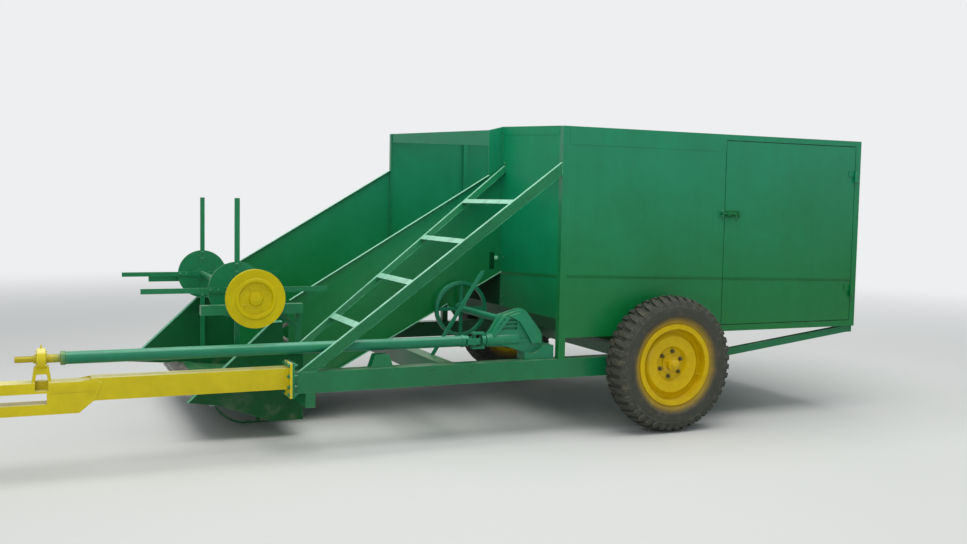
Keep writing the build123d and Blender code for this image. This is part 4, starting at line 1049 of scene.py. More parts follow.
@dataclass
class Wheel(SubAssembly):
    """One wheel: lugged tyre, and the nuts, cap and valve on its rim.

    The wall is one side of the tyre's profile, as radius and offset along the axle. Each station of a lug has
    its offset, the radius or its height over the tread, half its width, its depth and its lean.
    """

    side: Side = Side.LEFT
    centre_x: float = 1.311
    centre_y: float = 1.315
    centre_z: float = 0.475
    diameter: float = 0.950
    lugs: int = 44
    lug_depth: float = 0.019
    shoulder_radius: float = 0.453
    shoulder_offset: float = 0.091
    nut_circle: float = 0.088
    nuts: int = 6
    tread_offsets: Triple = (0.070, 0.045, 0.015)
    wall: Path = (
        (0.2545, 0.0725), (0.272, 0.0742), (0.288, 0.0758), (0.291, 0.080), (0.296, 0.0815),
        (0.301, 0.0815), (0.305, 0.0855), (0.322, 0.0935), (0.340, 0.0990), (0.3415, 0.1005),
        (0.3455, 0.1018), (0.3475, 0.1012), (0.362, 0.1034), (0.385, 0.1038), (0.400, 0.1020),
        (0.4015, 0.1032), (0.4050, 0.1026), (0.4065, 0.1008), (0.424, 0.0960), (0.436, 0.0905),
        (0.443, 0.0830))
    lug_stations: tuple[tuple[float, ...], ...] = (
        (-0.004, 0.0, 0.0100, 0.024, 0.0), (0.018, 0.0, 0.0115, 0.024, 0.003),
        (0.032, 0.0, 0.0160, 0.024, 0.010), (0.060, 0.0, 0.0175, 0.024, 0.014),
        (0.082, 0.0, 0.0185, 0.024, 0.016), (0.0905, -0.0006, 0.0185, 0.026, 0.0165),
        (0.0975, 0.4400, 0.0165, 0.014, 0.017), (0.1015, 0.4240, 0.0125, 0.008, 0.017),
        (0.1035, 0.4100, 0.0075, 0.004, 0.017))

    @property
    def centre(self) -> Vector:
        """Centre of the wheel."""
        return Vector((self.centre_x, self.side.value * self.centre_y, self.centre_z))

    @property
    def body(self) -> Body:
        """Body that the wheel's pieces ride on."""
        return Body.LEFT_WHEEL if self.side is Side.LEFT else Body.RIGHT_WHEEL

    def crown(self, offset: float) -> float:
        """Radius of the tread's outer face at a distance from its middle.

        Args:
            offset: Distance along the axle from the tread's middle.

        Returns:
            The radius there.
        """
        drop = self.diameter / 2 - self.shoulder_radius
        bow = (self.shoulder_offset ** 2 + drop ** 2) / (2 * drop)
        return self.diameter / 2 - bow + math.sqrt(bow ** 2 - offset ** 2)

    def carcass(self) -> list[Pair]:
        """Closed profile of the tyre without its lugs.

        Returns:
            Pairs of radius and offset along the axle.
        """
        groove = [(self.crown(offset) - self.lug_depth, offset) for offset in self.tread_offsets]
        outer = [*self.wall, *groove]
        return outer + [(radius, -offset) for radius, offset in reversed(outer)]

    def lug(self, pen: Pen, angle: float, side: int, axle: Matrix) -> None:
        """Draws one lug from the tread's middle over the shoulder.

        Args:
            pen: Pen to draw with.
            angle: Place around the tyre.
            side: Side of the tread, -1 or 1.
            axle: Frame whose Z is the axle.
        """
        rings = []
        for offset, radius, half, depth, lean in self.lug_stations:
            on_tread = radius < 0.1
            top = self.crown(abs(offset)) + radius if on_tread else radius
            high = (top, offset)
            low = (top - depth, offset) if on_tread else (top, offset - depth)
            middle = angle + side * lean / top
            ring = []
            for reach, (r, w) in ((-half - 0.003, low), (-half + 0.002, high), (half - 0.002, high),
                                  (half + 0.003, low)):
                turn = middle + reach / top
                ring.append(axle @ Vector((r * math.cos(turn), r * math.sin(turn), side * w)))
            rings.append(ring)
        pen.loft(rings)

    def build(self) -> None:
        """Builds the tyre and the small parts on the rim."""
        label = self.side.label
        side = self.side.value
        place = {"body": self.body, "origin": self.centre}
        axle = axle_frame(self.centre)
        tyre = Pen()
        tyre.ring(self.carcass(), axle, self.lugs * 3)
        for index in range(self.lugs):
            for face in (-1, 1):
                self.lug(tyre, math.tau * (index + 0.25 * face) / self.lugs, face, axle)
        tread = tyre.piece(f"{label}_tyre_tread", TYRE_RUBBER, slot=Slot.TYRE, **place)
        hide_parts(f"{label}_tyre")

        nuts = Pen()
        seats = self.centre + Vector((0, side * 0.0195, 0))
        nuts.bolt_circle(seats, side, (self.nuts, self.nut_circle, 0.35), 0.022, (40.0, 0.0), 0.010)
        nuts.piece(f"{label}_wheel_nuts", GREASED_STEEL, slot=Slot.STEEL, **place)
        metal = Pen()
        cap = axle_frame(self.centre + Vector((0, side * 0.072, 0)), side)
        metal.turned([(0, 0), (0.035, 0), (0.035, 0.007), (0.032, 0.010), (0.029, 0.021), (0.023, 0.027),
                      (0.010, 0.030), (0, 0.031)], cap, 36)
        collar = axle_frame(self.centre + Vector((0, side * 0.022, 0)), side)
        metal.ring([(0.0440, 0.0), (0.066, 0.0), (0.066, 0.006), (0.0440, 0.010)], collar, 40)
        foot = self.centre + Vector((0.205, side * 0.040, -0.075))
        metal.rod([foot + Vector((x, side * y, z)) for x, y, z in
                   ((0, 0, 0), (0.006, 0.018, -0.003), (0.010, 0.034, -0.005))], 0.0045, 10)
        metal.piece(f"{label}_wheel_fittings", WHEEL_YELLOW, slot=Slot.WHEEL, **place)

    def finishes(self) -> Dressing:
        """Gives the rim its yellow."""
        label = self.side.label
        return {WHEEL_YELLOW: (f"{label}_wheel_rim",), TYRE_RUBBER: (f"{label}_tyre",)}


@dataclass
class Chassis(SubAssembly):
    """Beams, cross members, axle and the supports under the bin."""

    flange_y: Pair = (-1.195, -1.035)
    flange_z: Pair = (0.366, 0.579)
    flange_bolt: float = 0.019
    flange_rows_z: Pair = (0.434, 0.500)
    bracket_x: Pair = (-0.800, -0.650)
    post_width: float = 0.050
    posts: tuple[tuple[int, float], ...] = ((0, 1.500), (1, 1.500), (1, 0.573))
    cross_x: Pair = (-0.310, 1.800)
    cross_width: float = 0.100
    carrier_x: Pair = (-1.215, -1.155)
    bead_radius: float = 0.0035

    def build(self) -> None:
        """Builds the flange's bolts and the weld beads."""
        bolts = Pen()
        left, right = self.flange_y[0] + 0.015, self.flange_y[1] - 0.015
        low, high = self.flange_z[0] + 0.020, self.flange_z[1] - 0.014
        places = [*((left, z) for z in (low, *self.flange_rows_z, high)), (right, low), (right, high),
                  (sum(self.flange_y) / 2, high)]
        for y, z in places:
            bolts.bolt((FLANGE_X[0], y, z), (-1, 0, 0), self.flange_bolt, twist=y * 50)
            bolts.bolt((FLANGE_X[1], y, z), (1, 0, 0), self.flange_bolt, twist=z * 50, stud=0.010)
        bolts.piece("flange_bolts", FRAME_GREEN)

        welds = Pen()
        radius = self.bead_radius
        beams = ((-HALF_WIDTH, -HALF_WIDTH + BEAM_WIDTH), (HALF_WIDTH - BEAM_WIDTH, HALF_WIDTH))
        outer, inner = beams[0]
        ends = ((outer, BEAM_BOTTOM), (outer, BEAM_TOP), (inner, BEAM_TOP), (inner, BEAM_BOTTOM))
        welds.bead([(FLANGE_X[1], y, z) for y, z in ends], radius, 11, closed=True)
        for y in (outer + 0.010, outer + 0.018, inner - 0.018, inner - 0.010):
            welds.bead([(x, y, BEAM_TOP) for x in self.bracket_x], radius, int(-y * 1000))
        for beam, x in self.posts:
            near, far = beams[beam][0] + 0.025, beams[beam][1] - 0.025
            foot = rectangle((x, x + self.post_width), (near, far))
            welds.bead([(*corner, BEAM_TOP) for corner in foot], radius, 20 + beam, closed=True)
        for cross_x in self.cross_x:
            for y in (inner + 0.001, beams[1][0] - 0.001):
                for x, seed in ((cross_x, 31), (cross_x + self.cross_width, 32)):
                    welds.bead([(x, y, BEAM_BOTTOM), (x, y, BEAM_TOP)], radius, seed)
        for y, seed in ((outer + 0.002, 41), (inner, 42)):
            welds.bead([(x, y, BEAM_BOTTOM) for x in self.carrier_x], radius, seed)
        welds.piece("chassis_weld_beads", FRAME_GREEN, smooth=BEAD_SHARP)

    def finishes(self) -> Dressing:
        """Gives the chassis nodes their green."""
        return {FRAME_GREEN: ("left_main_beam", "right_main_beam", "chassis_cross_members", "axle",
                              "bin_supports")}


@dataclass
class Hitch(SubAssembly):
    """Drawbar, forked jaw and the bearing stand on it."""

    bearing_x: float = -2.686
    bearing_half: float = 0.021
    bearing_radius: float = 0.060
    bearing_bolts: tuple[int, float, float] = (4, 0.0495, math.pi / 4)
    stand_half: float = 0.032
    cheek_rear: Path = ((-2.424, 0.412), (-2.411, 0.420), (-2.373, 0.512), (-2.424, 0.538))
    jaw_top: float = 0.528
    drawbar_front: float = -2.430
    drawbar_y: Pair = (-1.135, -1.015)
    drawbar_z: Pair = (0.414, 0.541)
    arm_plate_x: Pair = (-2.644, -2.411)
    arm_plate_y: Pair = (-1.1415, -1.1385)
    arm_plate_z: Pair = (0.469, 0.526)

    def build(self) -> None:
        """Builds the bearing's small parts and the weld beads."""
        fittings = Pen()
        for face in (-1, 1):
            seat_x = self.bearing_x + face * self.bearing_half
            ring = facing_frame((seat_x, DRIVE_Y, DRIVE_Z), (face, 0, 0))
            fittings.ring([(0.027, -0.001), (0.039, -0.001), (0.039, 0.003), (0.036, 0.005), (0.027, 0.004)],
                          ring, 40)
            for y, z in around(*self.bearing_bolts):
                fittings.bolt((seat_x, DRIVE_Y + y, DRIVE_Z + z), (face, 0, 0), 0.011, twist=z * 70)
        nipple = facing_frame((self.bearing_x, DRIVE_Y, DRIVE_Z + self.bearing_radius), (0, 0, 1))
        fittings.turned([(0, -0.002), (0.006, -0.002), (0.006, 0.006), (0.004, 0.008), (0.004, 0.013),
                         (0.0052, 0.016), (0.003, 0.020), (0, 0.020)], nipple, 12)
        fittings.piece("bearing_fittings", DRAWBAR_YELLOW, slot=Slot.DRAWBAR)

        plate = Pen()
        plate.block(self.arm_plate_x, self.arm_plate_y, self.arm_plate_z)
        plate.piece("jaw_arm_plate", DRAWBAR_YELLOW, slot=Slot.DRAWBAR, bevel=0.0008)

        welds = Pen()
        for y in (DRIVE_Y - self.stand_half, DRIVE_Y + self.stand_half):
            for run in ((-0.050, -0.034), (0.034, 0.050)):
                welds.bead([(self.bearing_x + x, y, self.jaw_top) for x in run], 0.0035, 7)
        for y in self.drawbar_y:
            welds.bead([(x, y, z) for x, z in self.cheek_rear], 0.0038, 8)
        welds.bead([(self.drawbar_front, y, self.jaw_top) for y in self.drawbar_y], 0.004, 10)
        (low, high), (outer, inner) = self.drawbar_z, self.drawbar_y
        inner -= 0.020
        ends = ((outer, low), (outer, high), (inner, high), (inner, low))
        welds.bead([(FLANGE_X[0], y, z) for y, z in ends], 0.004, 9)
        welds.piece("drawbar_weld_beads", DRAWBAR_YELLOW, slot=Slot.DRAWBAR, smooth=BEAD_SHARP)

    def finishes(self) -> Dressing:
        """Gives the hitch its yellow."""
        return {DRAWBAR_YELLOW: ("drawbar", "hitch_jaw", "shaft_bearing_stand")}


@dataclass
class Drive(SubAssembly):
    """Drive shaft, universal joint, gearbox and cross shaft with its sheave."""

    tube_radius: float = 0.036
    tube_collars: Path = ((-2.575, 0.014), (-0.150, 0.012))
    gearbox_x: float = 0.335
    gearbox_y: Pair = (-1.125, -0.975)
    cover_inset: float = 0.025
    plug: Pair = (0.371, 0.757)
    plug_way: Triple = (0.93, 0, 0.37)
    foot_bolts: Pair = (0.468, 0.610)
    foot_bolts_y: Pair = (-1.115, -1.035)
    cross_x: float = 0.175
    cross_z: float = 0.778
    cross_collars_y: Pair = (-0.960, -0.240)
    sheave_y: float = -0.270
    joint_x: float = -0.063
    joint_reach: float = 0.0545
    leg: Path = ((0.176, 0.816), (0.246, 0.838), (0.300, 0.822), (0.398, 0.690), (0.412, 0.628),
                 (0.340, 0.628), (0.322, 0.668), (0.250, 0.776))
    ribs: tuple[Path, ...] = (((0.062, 0.690), (0.170, 0.810), (0.184, 0.800), (0.078, 0.680)),
                               ((0.090, 0.640), (0.300, 0.640), (0.300, 0.654), (0.090, 0.654)))
    rounds: tuple[Triple, ...] = ((0.335, 0.655, 0.095), (0.075, 0.668, 0.028), (0.272, 0.798, 0.055),
                                  (0.175, 0.778, 0.048))
    arch_steps: int = 51
    arch_start: float = 196.0
    arch_sweep: float = 212.0
    arch_middle: Pair = (0.22, 0.70)
    arch_reach: float = 0.6

    def outline(self, grow: float) -> list[Pair]:
        """Draws the arch round the housing's round parts, from its nose over the top to its rear foot.

        Args:
            grow: Distance outside the housing's own outline.

        Returns:
            Pairs of X and Z, from front to rear.
        """
        points = []
        for step in range(self.arch_steps + 1):
            angle = math.radians(self.arch_start - self.arch_sweep * step / self.arch_steps)
            way = (math.cos(angle), math.sin(angle))
            reach = max(x * way[0] + z * way[1] + radius for x, z, radius in self.rounds)
            points.append((way, reach + grow))
        corners = []
        for (one, near), (two, far) in zip(points, points[1:]):
            cross = one[0] * two[1] - one[1] * two[0]
            corners.append(((near * two[1] - far * one[1]) / cross, (one[0] * far - two[0] * near) / cross))
        return [corner for corner in corners if math.dist(corner, self.arch_middle) < self.arch_reach]

    def build(self) -> None:
        """Builds bolts, covers, webs, collars and caps."""
        turning = Pen()
        bore = self.tube_radius - 0.001
        for x, reach in self.tube_collars:
            turning.ring([(bore, -reach), (self.tube_radius + 0.004, -reach + 0.002),
                          (self.tube_radius + 0.005, reach - 0.003), (bore, reach)],
                         facing_frame((x, DRIVE_Y, DRIVE_Z), (1, 0, 0)), 40)
        for side in (-1, 1):
            for way in ((0, side, 0), (0, 0, side)):
                seat = Vector((self.joint_x, DRIVE_Y, DRIVE_Z)) + Vector(way) * self.joint_reach
                turning.turned([(0, 0), (0.0125, 0), (0.0125, 0.0015), (0.011, 0.003), (0, 0.003)],
                               facing_frame(seat, way), 24)
        turning.piece("shaft_collars_and_caps", SHAFT_GREEN, Body.DRIVE_LINE, Slot.SHAFT)

        casting = Pen()
        rear = self.gearbox_y[1] - self.cover_inset
        casting.turned([(0, -0.001), (0.082, -0.001), (0.082, 0.008), (0.078, 0.011), (0.050, 0.011),
                        (0.046, 0.020), (0.030, 0.023), (0, 0.023)],
                       axle_frame((self.gearbox_x, rear, DRIVE_Z)), 48)
        casting.bolt_circle((self.gearbox_x, rear + 0.011, DRIVE_Z), 1, (8, 0.068, 0.2), 0.013, (60.0, 0.0))
        near = side_frame(self.gearbox_y[0] + self.cover_inset + 0.001)
        casting.prism(self.leg, near, self.cover_inset)
        for corners in self.ribs:
            casting.prism(corners, near, 0.012)
        middle_y = sum(self.gearbox_y) / 2
        casting.prism(self.outline(0.008) + self.outline(-0.006)[::-1], side_frame(middle_y + 0.006), 0.012)
        casting.turned([(0, -0.006), (0.013, -0.006), (0.013, 0.005), (0.010, 0.007), (0.010, 0.013),
                        (0, 0.013)], facing_frame((self.plug[0], middle_y, self.plug[1]), self.plug_way), 6)
        for y in self.foot_bolts_y:
            casting.bolt((self.foot_bolts[0], y, self.foot_bolts[1]), (0, 0, 1), 0.016, twist=y * 9)
        casting.piece("gearbox_covers_and_bolts", CAST_GREEN)

        sheave = Pen()
        for face in (-1, 1):
            seat = (self.cross_x, self.sheave_y + face * 0.014, self.cross_z)
            sheave.ring([(0.180, -0.001), (0.2048, -0.001), (0.2052, 0.001), (0.202, 0.003), (0.182, 0.003)],
                        axle_frame(seat, face), 64)
            sheave.bolt_circle(seat, face, (3, 0.036, 0.5), 0.011, (0.0, 30.0))
        for y in self.cross_collars_y:
            sheave.ring([(0.0245, -0.010), (0.037, -0.010), (0.039, -0.008), (0.039, 0.008), (0.037, 0.010),
                         (0.0245, 0.010)], axle_frame((self.cross_x, y, self.cross_z)), 32)
        sheave.piece("sheave_rings_and_collars", SHAFT_GREEN, Body.CROSS_DRIVE)

    def finishes(self) -> Dressing:
        """Gives the drive's nodes their greens."""
        return {SHAFT_GREEN: ("drive_shaft", "universal_joint", "cross_shaft"),
                CAST_GREEN: ("gearbox_housing", "gearbox_pedestal", "idler_lever")}


@dataclass
class Ladder(SubAssembly):
    """Ladder from the left beam to the bin's front edge."""

    slope: float = math.radians(36.7)
    foot_x: float = -1.261
    rail_width: float = 0.030
    rail_depth: float = 0.068
    rung_width: float = 0.046
    rung_thickness: float = 0.010
    rung_pitch: float = 0.350
    first_rung: float = -0.890
    rungs: int = 4
    far_foot: Pair = (-0.633, 0.560)
    far_top_y: float = -0.245

    def height(self, x: float) -> float:
        """Height of the rails' upper edge at a place along the machine."""
        return BEAM_TOP + (x - self.foot_x) * math.tan(self.slope)

    def far_y(self, z: float) -> float:
        """Middle of the far rail at a height."""
        foot_y, foot_z = self.far_foot
        return foot_y + (self.far_top_y - foot_y) * (z - foot_z) / (self.height(BIN_FRONT) - foot_z)

    def build(self) -> None:
        """Builds the weld beads round the rungs and at the ladder's ends."""
        welds = Pen()
        slant = (math.cos(self.slope), math.sin(self.slope))
        along = Vector((slant[0], 0, slant[1])) * self.rung_width / 2
        under = Vector((slant[1], 0, -slant[0])) * self.rung_thickness
        near_y = -HALF_WIDTH + self.rail_width
        for index in range(self.rungs):
            x = self.first_rung + index * self.rung_pitch
            z = self.height(x)
            for y in (near_y, self.far_y(z) - self.rail_width / 2 - 0.001):
                middle = Vector((x, y, z))
                welds.bead([middle - along, middle - along + under, middle + along + under, middle + along],
                           0.0032, 50 + index)
        foot_end = self.foot_x + self.rail_depth / slant[1]
        welds.bead([(x, near_y, BEAM_TOP) for x in (self.foot_x + 0.010, foot_end)], 0.004, 61)
        top = self.height(BIN_FRONT)
        welds.bead([(BIN_FRONT, near_y, z) for z in (top - self.rail_depth / slant[0], top)], 0.004, 62)
        welds.piece("ladder_weld_beads", LADDER_GREEN, smooth=BEAD_SHARP)

    def finishes(self) -> Dressing:
        """Gives the ladder its green, with painted sky sheen on the rails' upward faces."""
        return {LADDER_GREEN: ("ladder",)}


@dataclass
class Bin(SubAssembly):
    """Collecting bin with its side door and tailgate."""

    seam_height: float = 0.017
    seam_proud: float = 0.003
    seam_front: float = 1.074
    seam_rear: float = 1.011
    latch_x: float = 1.980
    latch_z: float = 1.518
    gate_latch_rows: Pair = (-0.620, 0.620)
    gate_latch_z: Pair = (0.730, 0.810)
    handle_z: float = 0.900
    handle_half: Path = ((0.004, 0.060), (0.018, 0.058), (0.021, 0.050))
    door_z: Pair = (0.711, 2.044)
    seal_width: float = 0.0045
    tack_z: tuple[float, ...] = (0.76, 0.98, 1.24, 1.50, 1.76, 1.97)
    tack_x: tuple[float, ...] = (0.66, 0.98, 1.40, 1.75)
    throat_bolts: Path = ((-0.265, 1.154), (-0.250, 0.857), (-0.262, 0.800), (-0.265, 1.520),
                          (-0.258, 1.860))

    def seam(self, pen: Pen, x: Pair, y: float, out: int) -> None:
        """Draws the lapped sheet's edge along a side.

        Args:
            pen: Pen to draw with.
            x: Limits along the machine.
            y: The side's plane.
            out: Sign of Y away from the bin.
        """
        drop = (self.seam_rear - self.seam_front) / (BIN_REAR - BIN_FRONT)
        low = [(end, self.seam_front + drop * (end - BIN_FRONT)) for end in x]
        high = [(end, z + self.seam_height) for end, z in reversed(low)]
        pen.prism(low + high, side_frame(y), -out * self.seam_proud)

    def seal(self, across: Pair, start: float, place: Callable[[Pair, Pair], tuple[Pair, Pair, Pair]]) -> Pen:
        """Draws the dark rubber strips round a door's opening; their tone paints the shade in the gap.

        Args:
            across: Limits of the opening.
            start: Width of the strip before its first limit.
            place: Gives the three limits of a block from those across the opening and in height.

        Returns:
            The pen that holds them.
        """
        pen = Pen()
        near, far = across[0] - start, across[1] + self.seal_width
        low, high = self.door_z
        for span, z in (((near, far), (high, high + self.seal_width)), ((near, far), (low - 0.004, low)),
                        ((near, across[0]), self.door_z), ((across[1], far), self.door_z)):
            pen.block(*place(span, z))
        return pen

    def build(self) -> None:
        """Builds seams, tack welds, latches and handles."""
        left = -HALF_WIDTH
        fixed = Pen()
        self.seam(fixed, (BIN_FRONT + 0.052, DOOR_SPLIT - 0.001), left, -1)
        self.seam(fixed, (BIN_FRONT + 0.002, BIN_REAR - 0.052), HALF_WIDTH, 1)
        edge = THROAT_LEFT - 0.002
        fixed.prism([(left + 0.052, 1.070), (edge, 1.031), (edge, 1.048), (left + 0.052, 1.087)],
                    end_frame(BIN_FRONT), -self.seam_proud)
        # The seams' darker green paints the shadow line under the lapped edges.
        fixed.piece("bin_lap_seams", SEAM_SHADE_GREEN, bevel=0.0004)

        tacks = Pen()
        draw = random.Random(5)
        for z in self.tack_z:
            for x in (BIN_FRONT + 0.050, DOOR_SPLIT):
                low = z + draw.uniform(-0.02, 0.02)
                tacks.bead([(x, left + 0.0405, end) for end in (low, low + 0.030)], 0.0028, int(z * 100))
        for x in self.tack_x:
            tacks.bead([(end, left + 0.001, BIN_BOTTOM) for end in (x, x + 0.028)], 0.003, int(x * 100))
        tacks.piece("bin_tack_welds", BIN_GREEN, smooth=BEAD_SHARP)

        door = Pen()
        self.seam(door, (DOOR_SPLIT + 0.007, BIN_REAR - 0.057), left, -1)
        self.slide_bolt(door)
        # Darker seam green: painted shadow line under the door's lapped edge.
        door.piece("side_door_seam_and_latch", SEAM_SHADE_GREEN, Body.SIDE_DOOR, bevel=0.0004)
        seal_y = (left + 0.006, left + 0.034)
        seal = self.seal((DOOR_SPLIT + 0.006, BIN_REAR - 0.056), 0.0035, lambda span, z: (span, seal_y, z))
        # The seal's dark tone paints the shade in the door gap.
        seal.piece("side_door_seal", SEAL_SHADE_RUBBER, Body.SIDE_DOOR, Slot.TYRE, bevel=0.0008)
        catch = Pen()
        catch.block((DOOR_SPLIT - 0.050, DOOR_SPLIT - 0.008), (left - 0.004, left),
                    (self.latch_z - 0.028, self.latch_z + 0.028))
        for low, high in ((0.0085, 0.020), (-0.020, -0.0085)):
            catch.block((DOOR_SPLIT - 0.038, DOOR_SPLIT - 0.018), (left - 0.022, left - 0.004),
                        (self.latch_z + low, self.latch_z + high))
        catch.piece("side_door_catch", BIN_GREEN, bevel=0.001)

        half = HALF_WIDTH - 0.056
        seal_x = (GATE_X - 0.034, GATE_X - 0.006)
        seal = self.seal((-half, half), self.seal_width, lambda span, z: (seal_x, span, z))
        # The seal's dark tone paints the shade in the tailgate gap.
        seal.piece("tailgate_seal", SEAL_SHADE_RUBBER, Body.TAILGATE, Slot.TYRE, bevel=0.0008)
        gate = Pen()
        gate.prism(rectangle((-1.100, 1.100), (self.seam_rear, self.seam_rear + self.seam_height)),
                   end_frame(GATE_X), self.seam_proud)
        for y in self.gate_latch_rows:
            gate.block((GATE_X - 0.0005, GATE_X + 0.005), (y - 0.030, y + 0.030), self.gate_latch_z)
            bow = [*((x, -reach) for x, reach in self.handle_half), *self.handle_half[::-1]]
            gate.rod([(GATE_X + x, y + reach, self.handle_z) for x, reach in bow], 0.005)
            for z in (self.gate_latch_z[0] + 0.018, self.gate_latch_z[1] - 0.018):
                for shift in (-0.017, 0.017):
                    gate.dome((GATE_X + 0.005, y + shift, z), (1, 0, 0), 0.006)
        # Darker seam green: painted shadow line under the tailgate's lapped edge.
        gate.piece("tailgate_seam_and_handles", SEAM_SHADE_GREEN, Body.TAILGATE, bevel=0.0004)

        throat = Pen()
        for y, z in self.throat_bolts:
            throat.bolt((BIN_FRONT, y, z), (-1, 0, 0), 0.016, twist=z * 7)
        throat.piece("throat_bolts", FRAME_GREEN)

    def slide_bolt(self, pen: Pen) -> None:
        """Draws the side door's sliding bolt with its guides and handle.

        Args:
            pen: Pen to draw with.
        """
        plane = -HALF_WIDTH
        x, z = self.latch_x, self.latch_z
        pen.block((DOOR_SPLIT + 0.012, x + 0.020), (plane - 0.004, plane + 0.0005), (z - 0.026, z + 0.026))
        for guide in (DOOR_SPLIT + 0.026, x - 0.006):
            pen.block((guide - 0.008, guide + 0.008), (plane - 0.024, plane - 0.0035), (z - 0.014, z + 0.014))
        bar = facing_frame((DOOR_SPLIT - 0.030, plane - 0.013, z), (1, 0, 0))
        pen.turned([(0, 0), (0.0055, 0), (0.0075, 0.002), (0.0075, 0.158), (0, 0.158)], bar, 16)
        pen.rod([(x - 0.040, plane - out, z - drop) for out, drop in
                 ((0.013, 0.0), (0.030, 0.004), (0.038, 0.018), (0.038, 0.048))], 0.005)
        for rivet in (DOOR_SPLIT + 0.044, x + 0.012):
            for side in (-1, 1):
                pen.dome((rivet, plane - 0.004, z + side * 0.018), (0, -1, 0), 0.0045)

    def finishes(self) -> Dressing:
        """Gives the bin its greens."""
        return {FRONT_GREEN: ("bin_front_panel",), SCRAPED_GREEN: ("bin_floor",),
                BIN_GREEN: ("bin_left_panel", "bin_posts", "bin_rails", "bin_right_wall", "rear_gate",
                            "side_door", "throat_lintel")}


@dataclass
class Elevator(SubAssembly):
    """Elevator walls and floor, and the slat chain with its shafts."""

    chain_middle: float = 0.071
    chain_half: float = 0.013
    pitch: float = 0.060
    slat_reach: float = 0.108
    slat_gap: float = 0.008
    front_x: float = -1.100
    upper_gap: float = 0.115
    chain_inset: float = 0.030
    wall_face: float = -0.209
    wall_lips: tuple[tuple[tuple[Pair, Pair], Pair], ...] = (
        (((-1.098, 0.866), (0.406, 1.774)), (-0.231, -0.2085)),
        (((-1.189, 1.056), (0.086, 1.829)), (1.139, 1.1615)))
    lip_edge: float = -0.2346
    low_lips: Path = ((-1.058, 0.083), (0.267, 0.519))
    floor_place: Pair = (-0.330, 0.586)
    take_up_x: Pair = (0.430, 0.469)
    take_up_z: Pair = (1.066, 1.195)
    take_up_bolt: Pair = (0.484, 1.151)

    def floor_height(self, x: float) -> float:
        """Height of the elevator's floor at a place along the machine."""
        return self.floor_place[1] + (x - self.floor_place[0]) * math.tan(ELEVATOR_SLOPE)

    def ends(self) -> tuple[Vector, Vector, list[float]]:
        """Reads the chain's two centres and its rows from the frame.

        Returns:
            Lower centre, upper centre, and the Y of each chain.
        """
        low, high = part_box("elevator_slat_chain")
        lift = 0.003 + (self.slat_reach + self.slat_gap) / math.cos(ELEVATOR_SLOPE)
        lower, upper = (Vector((x, 0, self.floor_height(x) + lift)) for x in
                        (self.front_x + self.slat_reach, BIN_FRONT - self.upper_gap - self.slat_gap))
        first = low.y + self.chain_inset
        last = high.y - self.chain_inset
        return lower, upper, [first, (first + last) / 2, last]

    def build(self) -> None:
        """Builds the wall lips, the take-up, and the chain's link plates and pins."""
        lips = Pen()
        for run, (left, right) in self.wall_lips:
            lips.strip(run, right, 0.004, right - left)
        for limits in self.low_lips:
            low = [(x, self.floor_height(x)) for x in limits]
            lips.prism(low + [(x, z + 0.008) for x, z in low[::-1]], side_frame(self.lip_edge), 0.0016)
        # Pale lips paint the highlight along the wall edges, together with their worn paint.
        lips.piece("elevator_wall_lips", TRIM_GREEN, bevel=0.0006)

        slot = Pen()
        slot.block(self.take_up_x, (self.wall_face - 0.003, self.wall_face + 0.001), self.take_up_z)
        # A dark plate for the slot: its dark green paints the shade inside the slot.
        slot.piece("take_up_slot", CHUTE_GREEN, bevel=0.001)
        bolt = Pen()
        bolt.bolt((self.take_up_bolt[0], self.wall_face, self.take_up_bolt[1]), (0, -1, 0), 0.023, stud=0.010)
        # Pale trim green on the bolt: painted highlight together with worn paint.
        bolt.piece("take_up_bolt", TRIM_GREEN)
        self.chain()

    def chain(self) -> None:
        """Builds the link plates and pins round the chain's loop."""
        lower, upper, rows = self.ends()
        run = (upper - lower).length
        along = (upper - lower).normalized()
        over = Vector((-along.z, 0, along.x))
        turn = math.pi * self.chain_middle
        length = 2 * run + 2 * turn
        count = round(length / self.pitch)

        def station(distance: float) -> Vector:
            """Finds a place on the chain's loop.

            Args:
                distance: Distance along the loop.

            Returns:
                The place there.
            """
            half, distance = divmod(distance % length, run + turn)
            centre, way, out = (upper, along, over) if not half else (lower, -along, -over)
            if distance < run:
                return centre - way * (run - distance) + out * self.chain_middle
            angle = (distance - run) / self.chain_middle
            return centre + (out * math.cos(angle) + way * math.sin(angle)) * self.chain_middle

        links = Pen()
        half = length / count / 2
        plate = [(-half - 0.009, -0.005), (-half - 0.004, -0.010), (half + 0.004, -0.010),
                 (half + 0.009, -0.005)]
        plate += [(x, -y) for x, y in plate[::-1]]
        pin_end = 2 * self.chain_half + 0.018
        for row in rows:
            for index in range(count):
                place, after = (station((index + step) * length / count) for step in (0, 1))
                way = (after - place).normalized()
                middle = (place + after) / 2
                offset = 0.0035 if index % 2 else 0.0
                for side in (-1, 1):
                    face = row + side * (self.chain_half + offset)
                    frame = Matrix(((way.x, -way.z, 0, middle.x), (0, 0, side, face),
                                    (way.z, way.x, 0, middle.z), (0, 0, 0, 1)))
                    links.prism(plate, frame, 0.003)
                pin = axle_frame((place.x, row - self.chain_half - 0.009, place.z))
                links.turned([(0, 0), (0.0055, 0), (0.0055, pin_end), (0, pin_end)], pin, 10)
        links.piece("elevator_chain_links", WORN_STEEL, slot=Slot.STEEL)

    def finishes(self) -> Dressing:
        """Gives walls and floor green, and the chain bare steel."""
        # The floor's dark chute green paints the shade on its underside.
        return {BIN_GREEN: ("elevator_left_wall", "elevator_right_wall"), CHUTE_GREEN: ("elevator_floor",),
                WORN_STEEL: ("elevator_slat_chain", "elevator_shafts")}


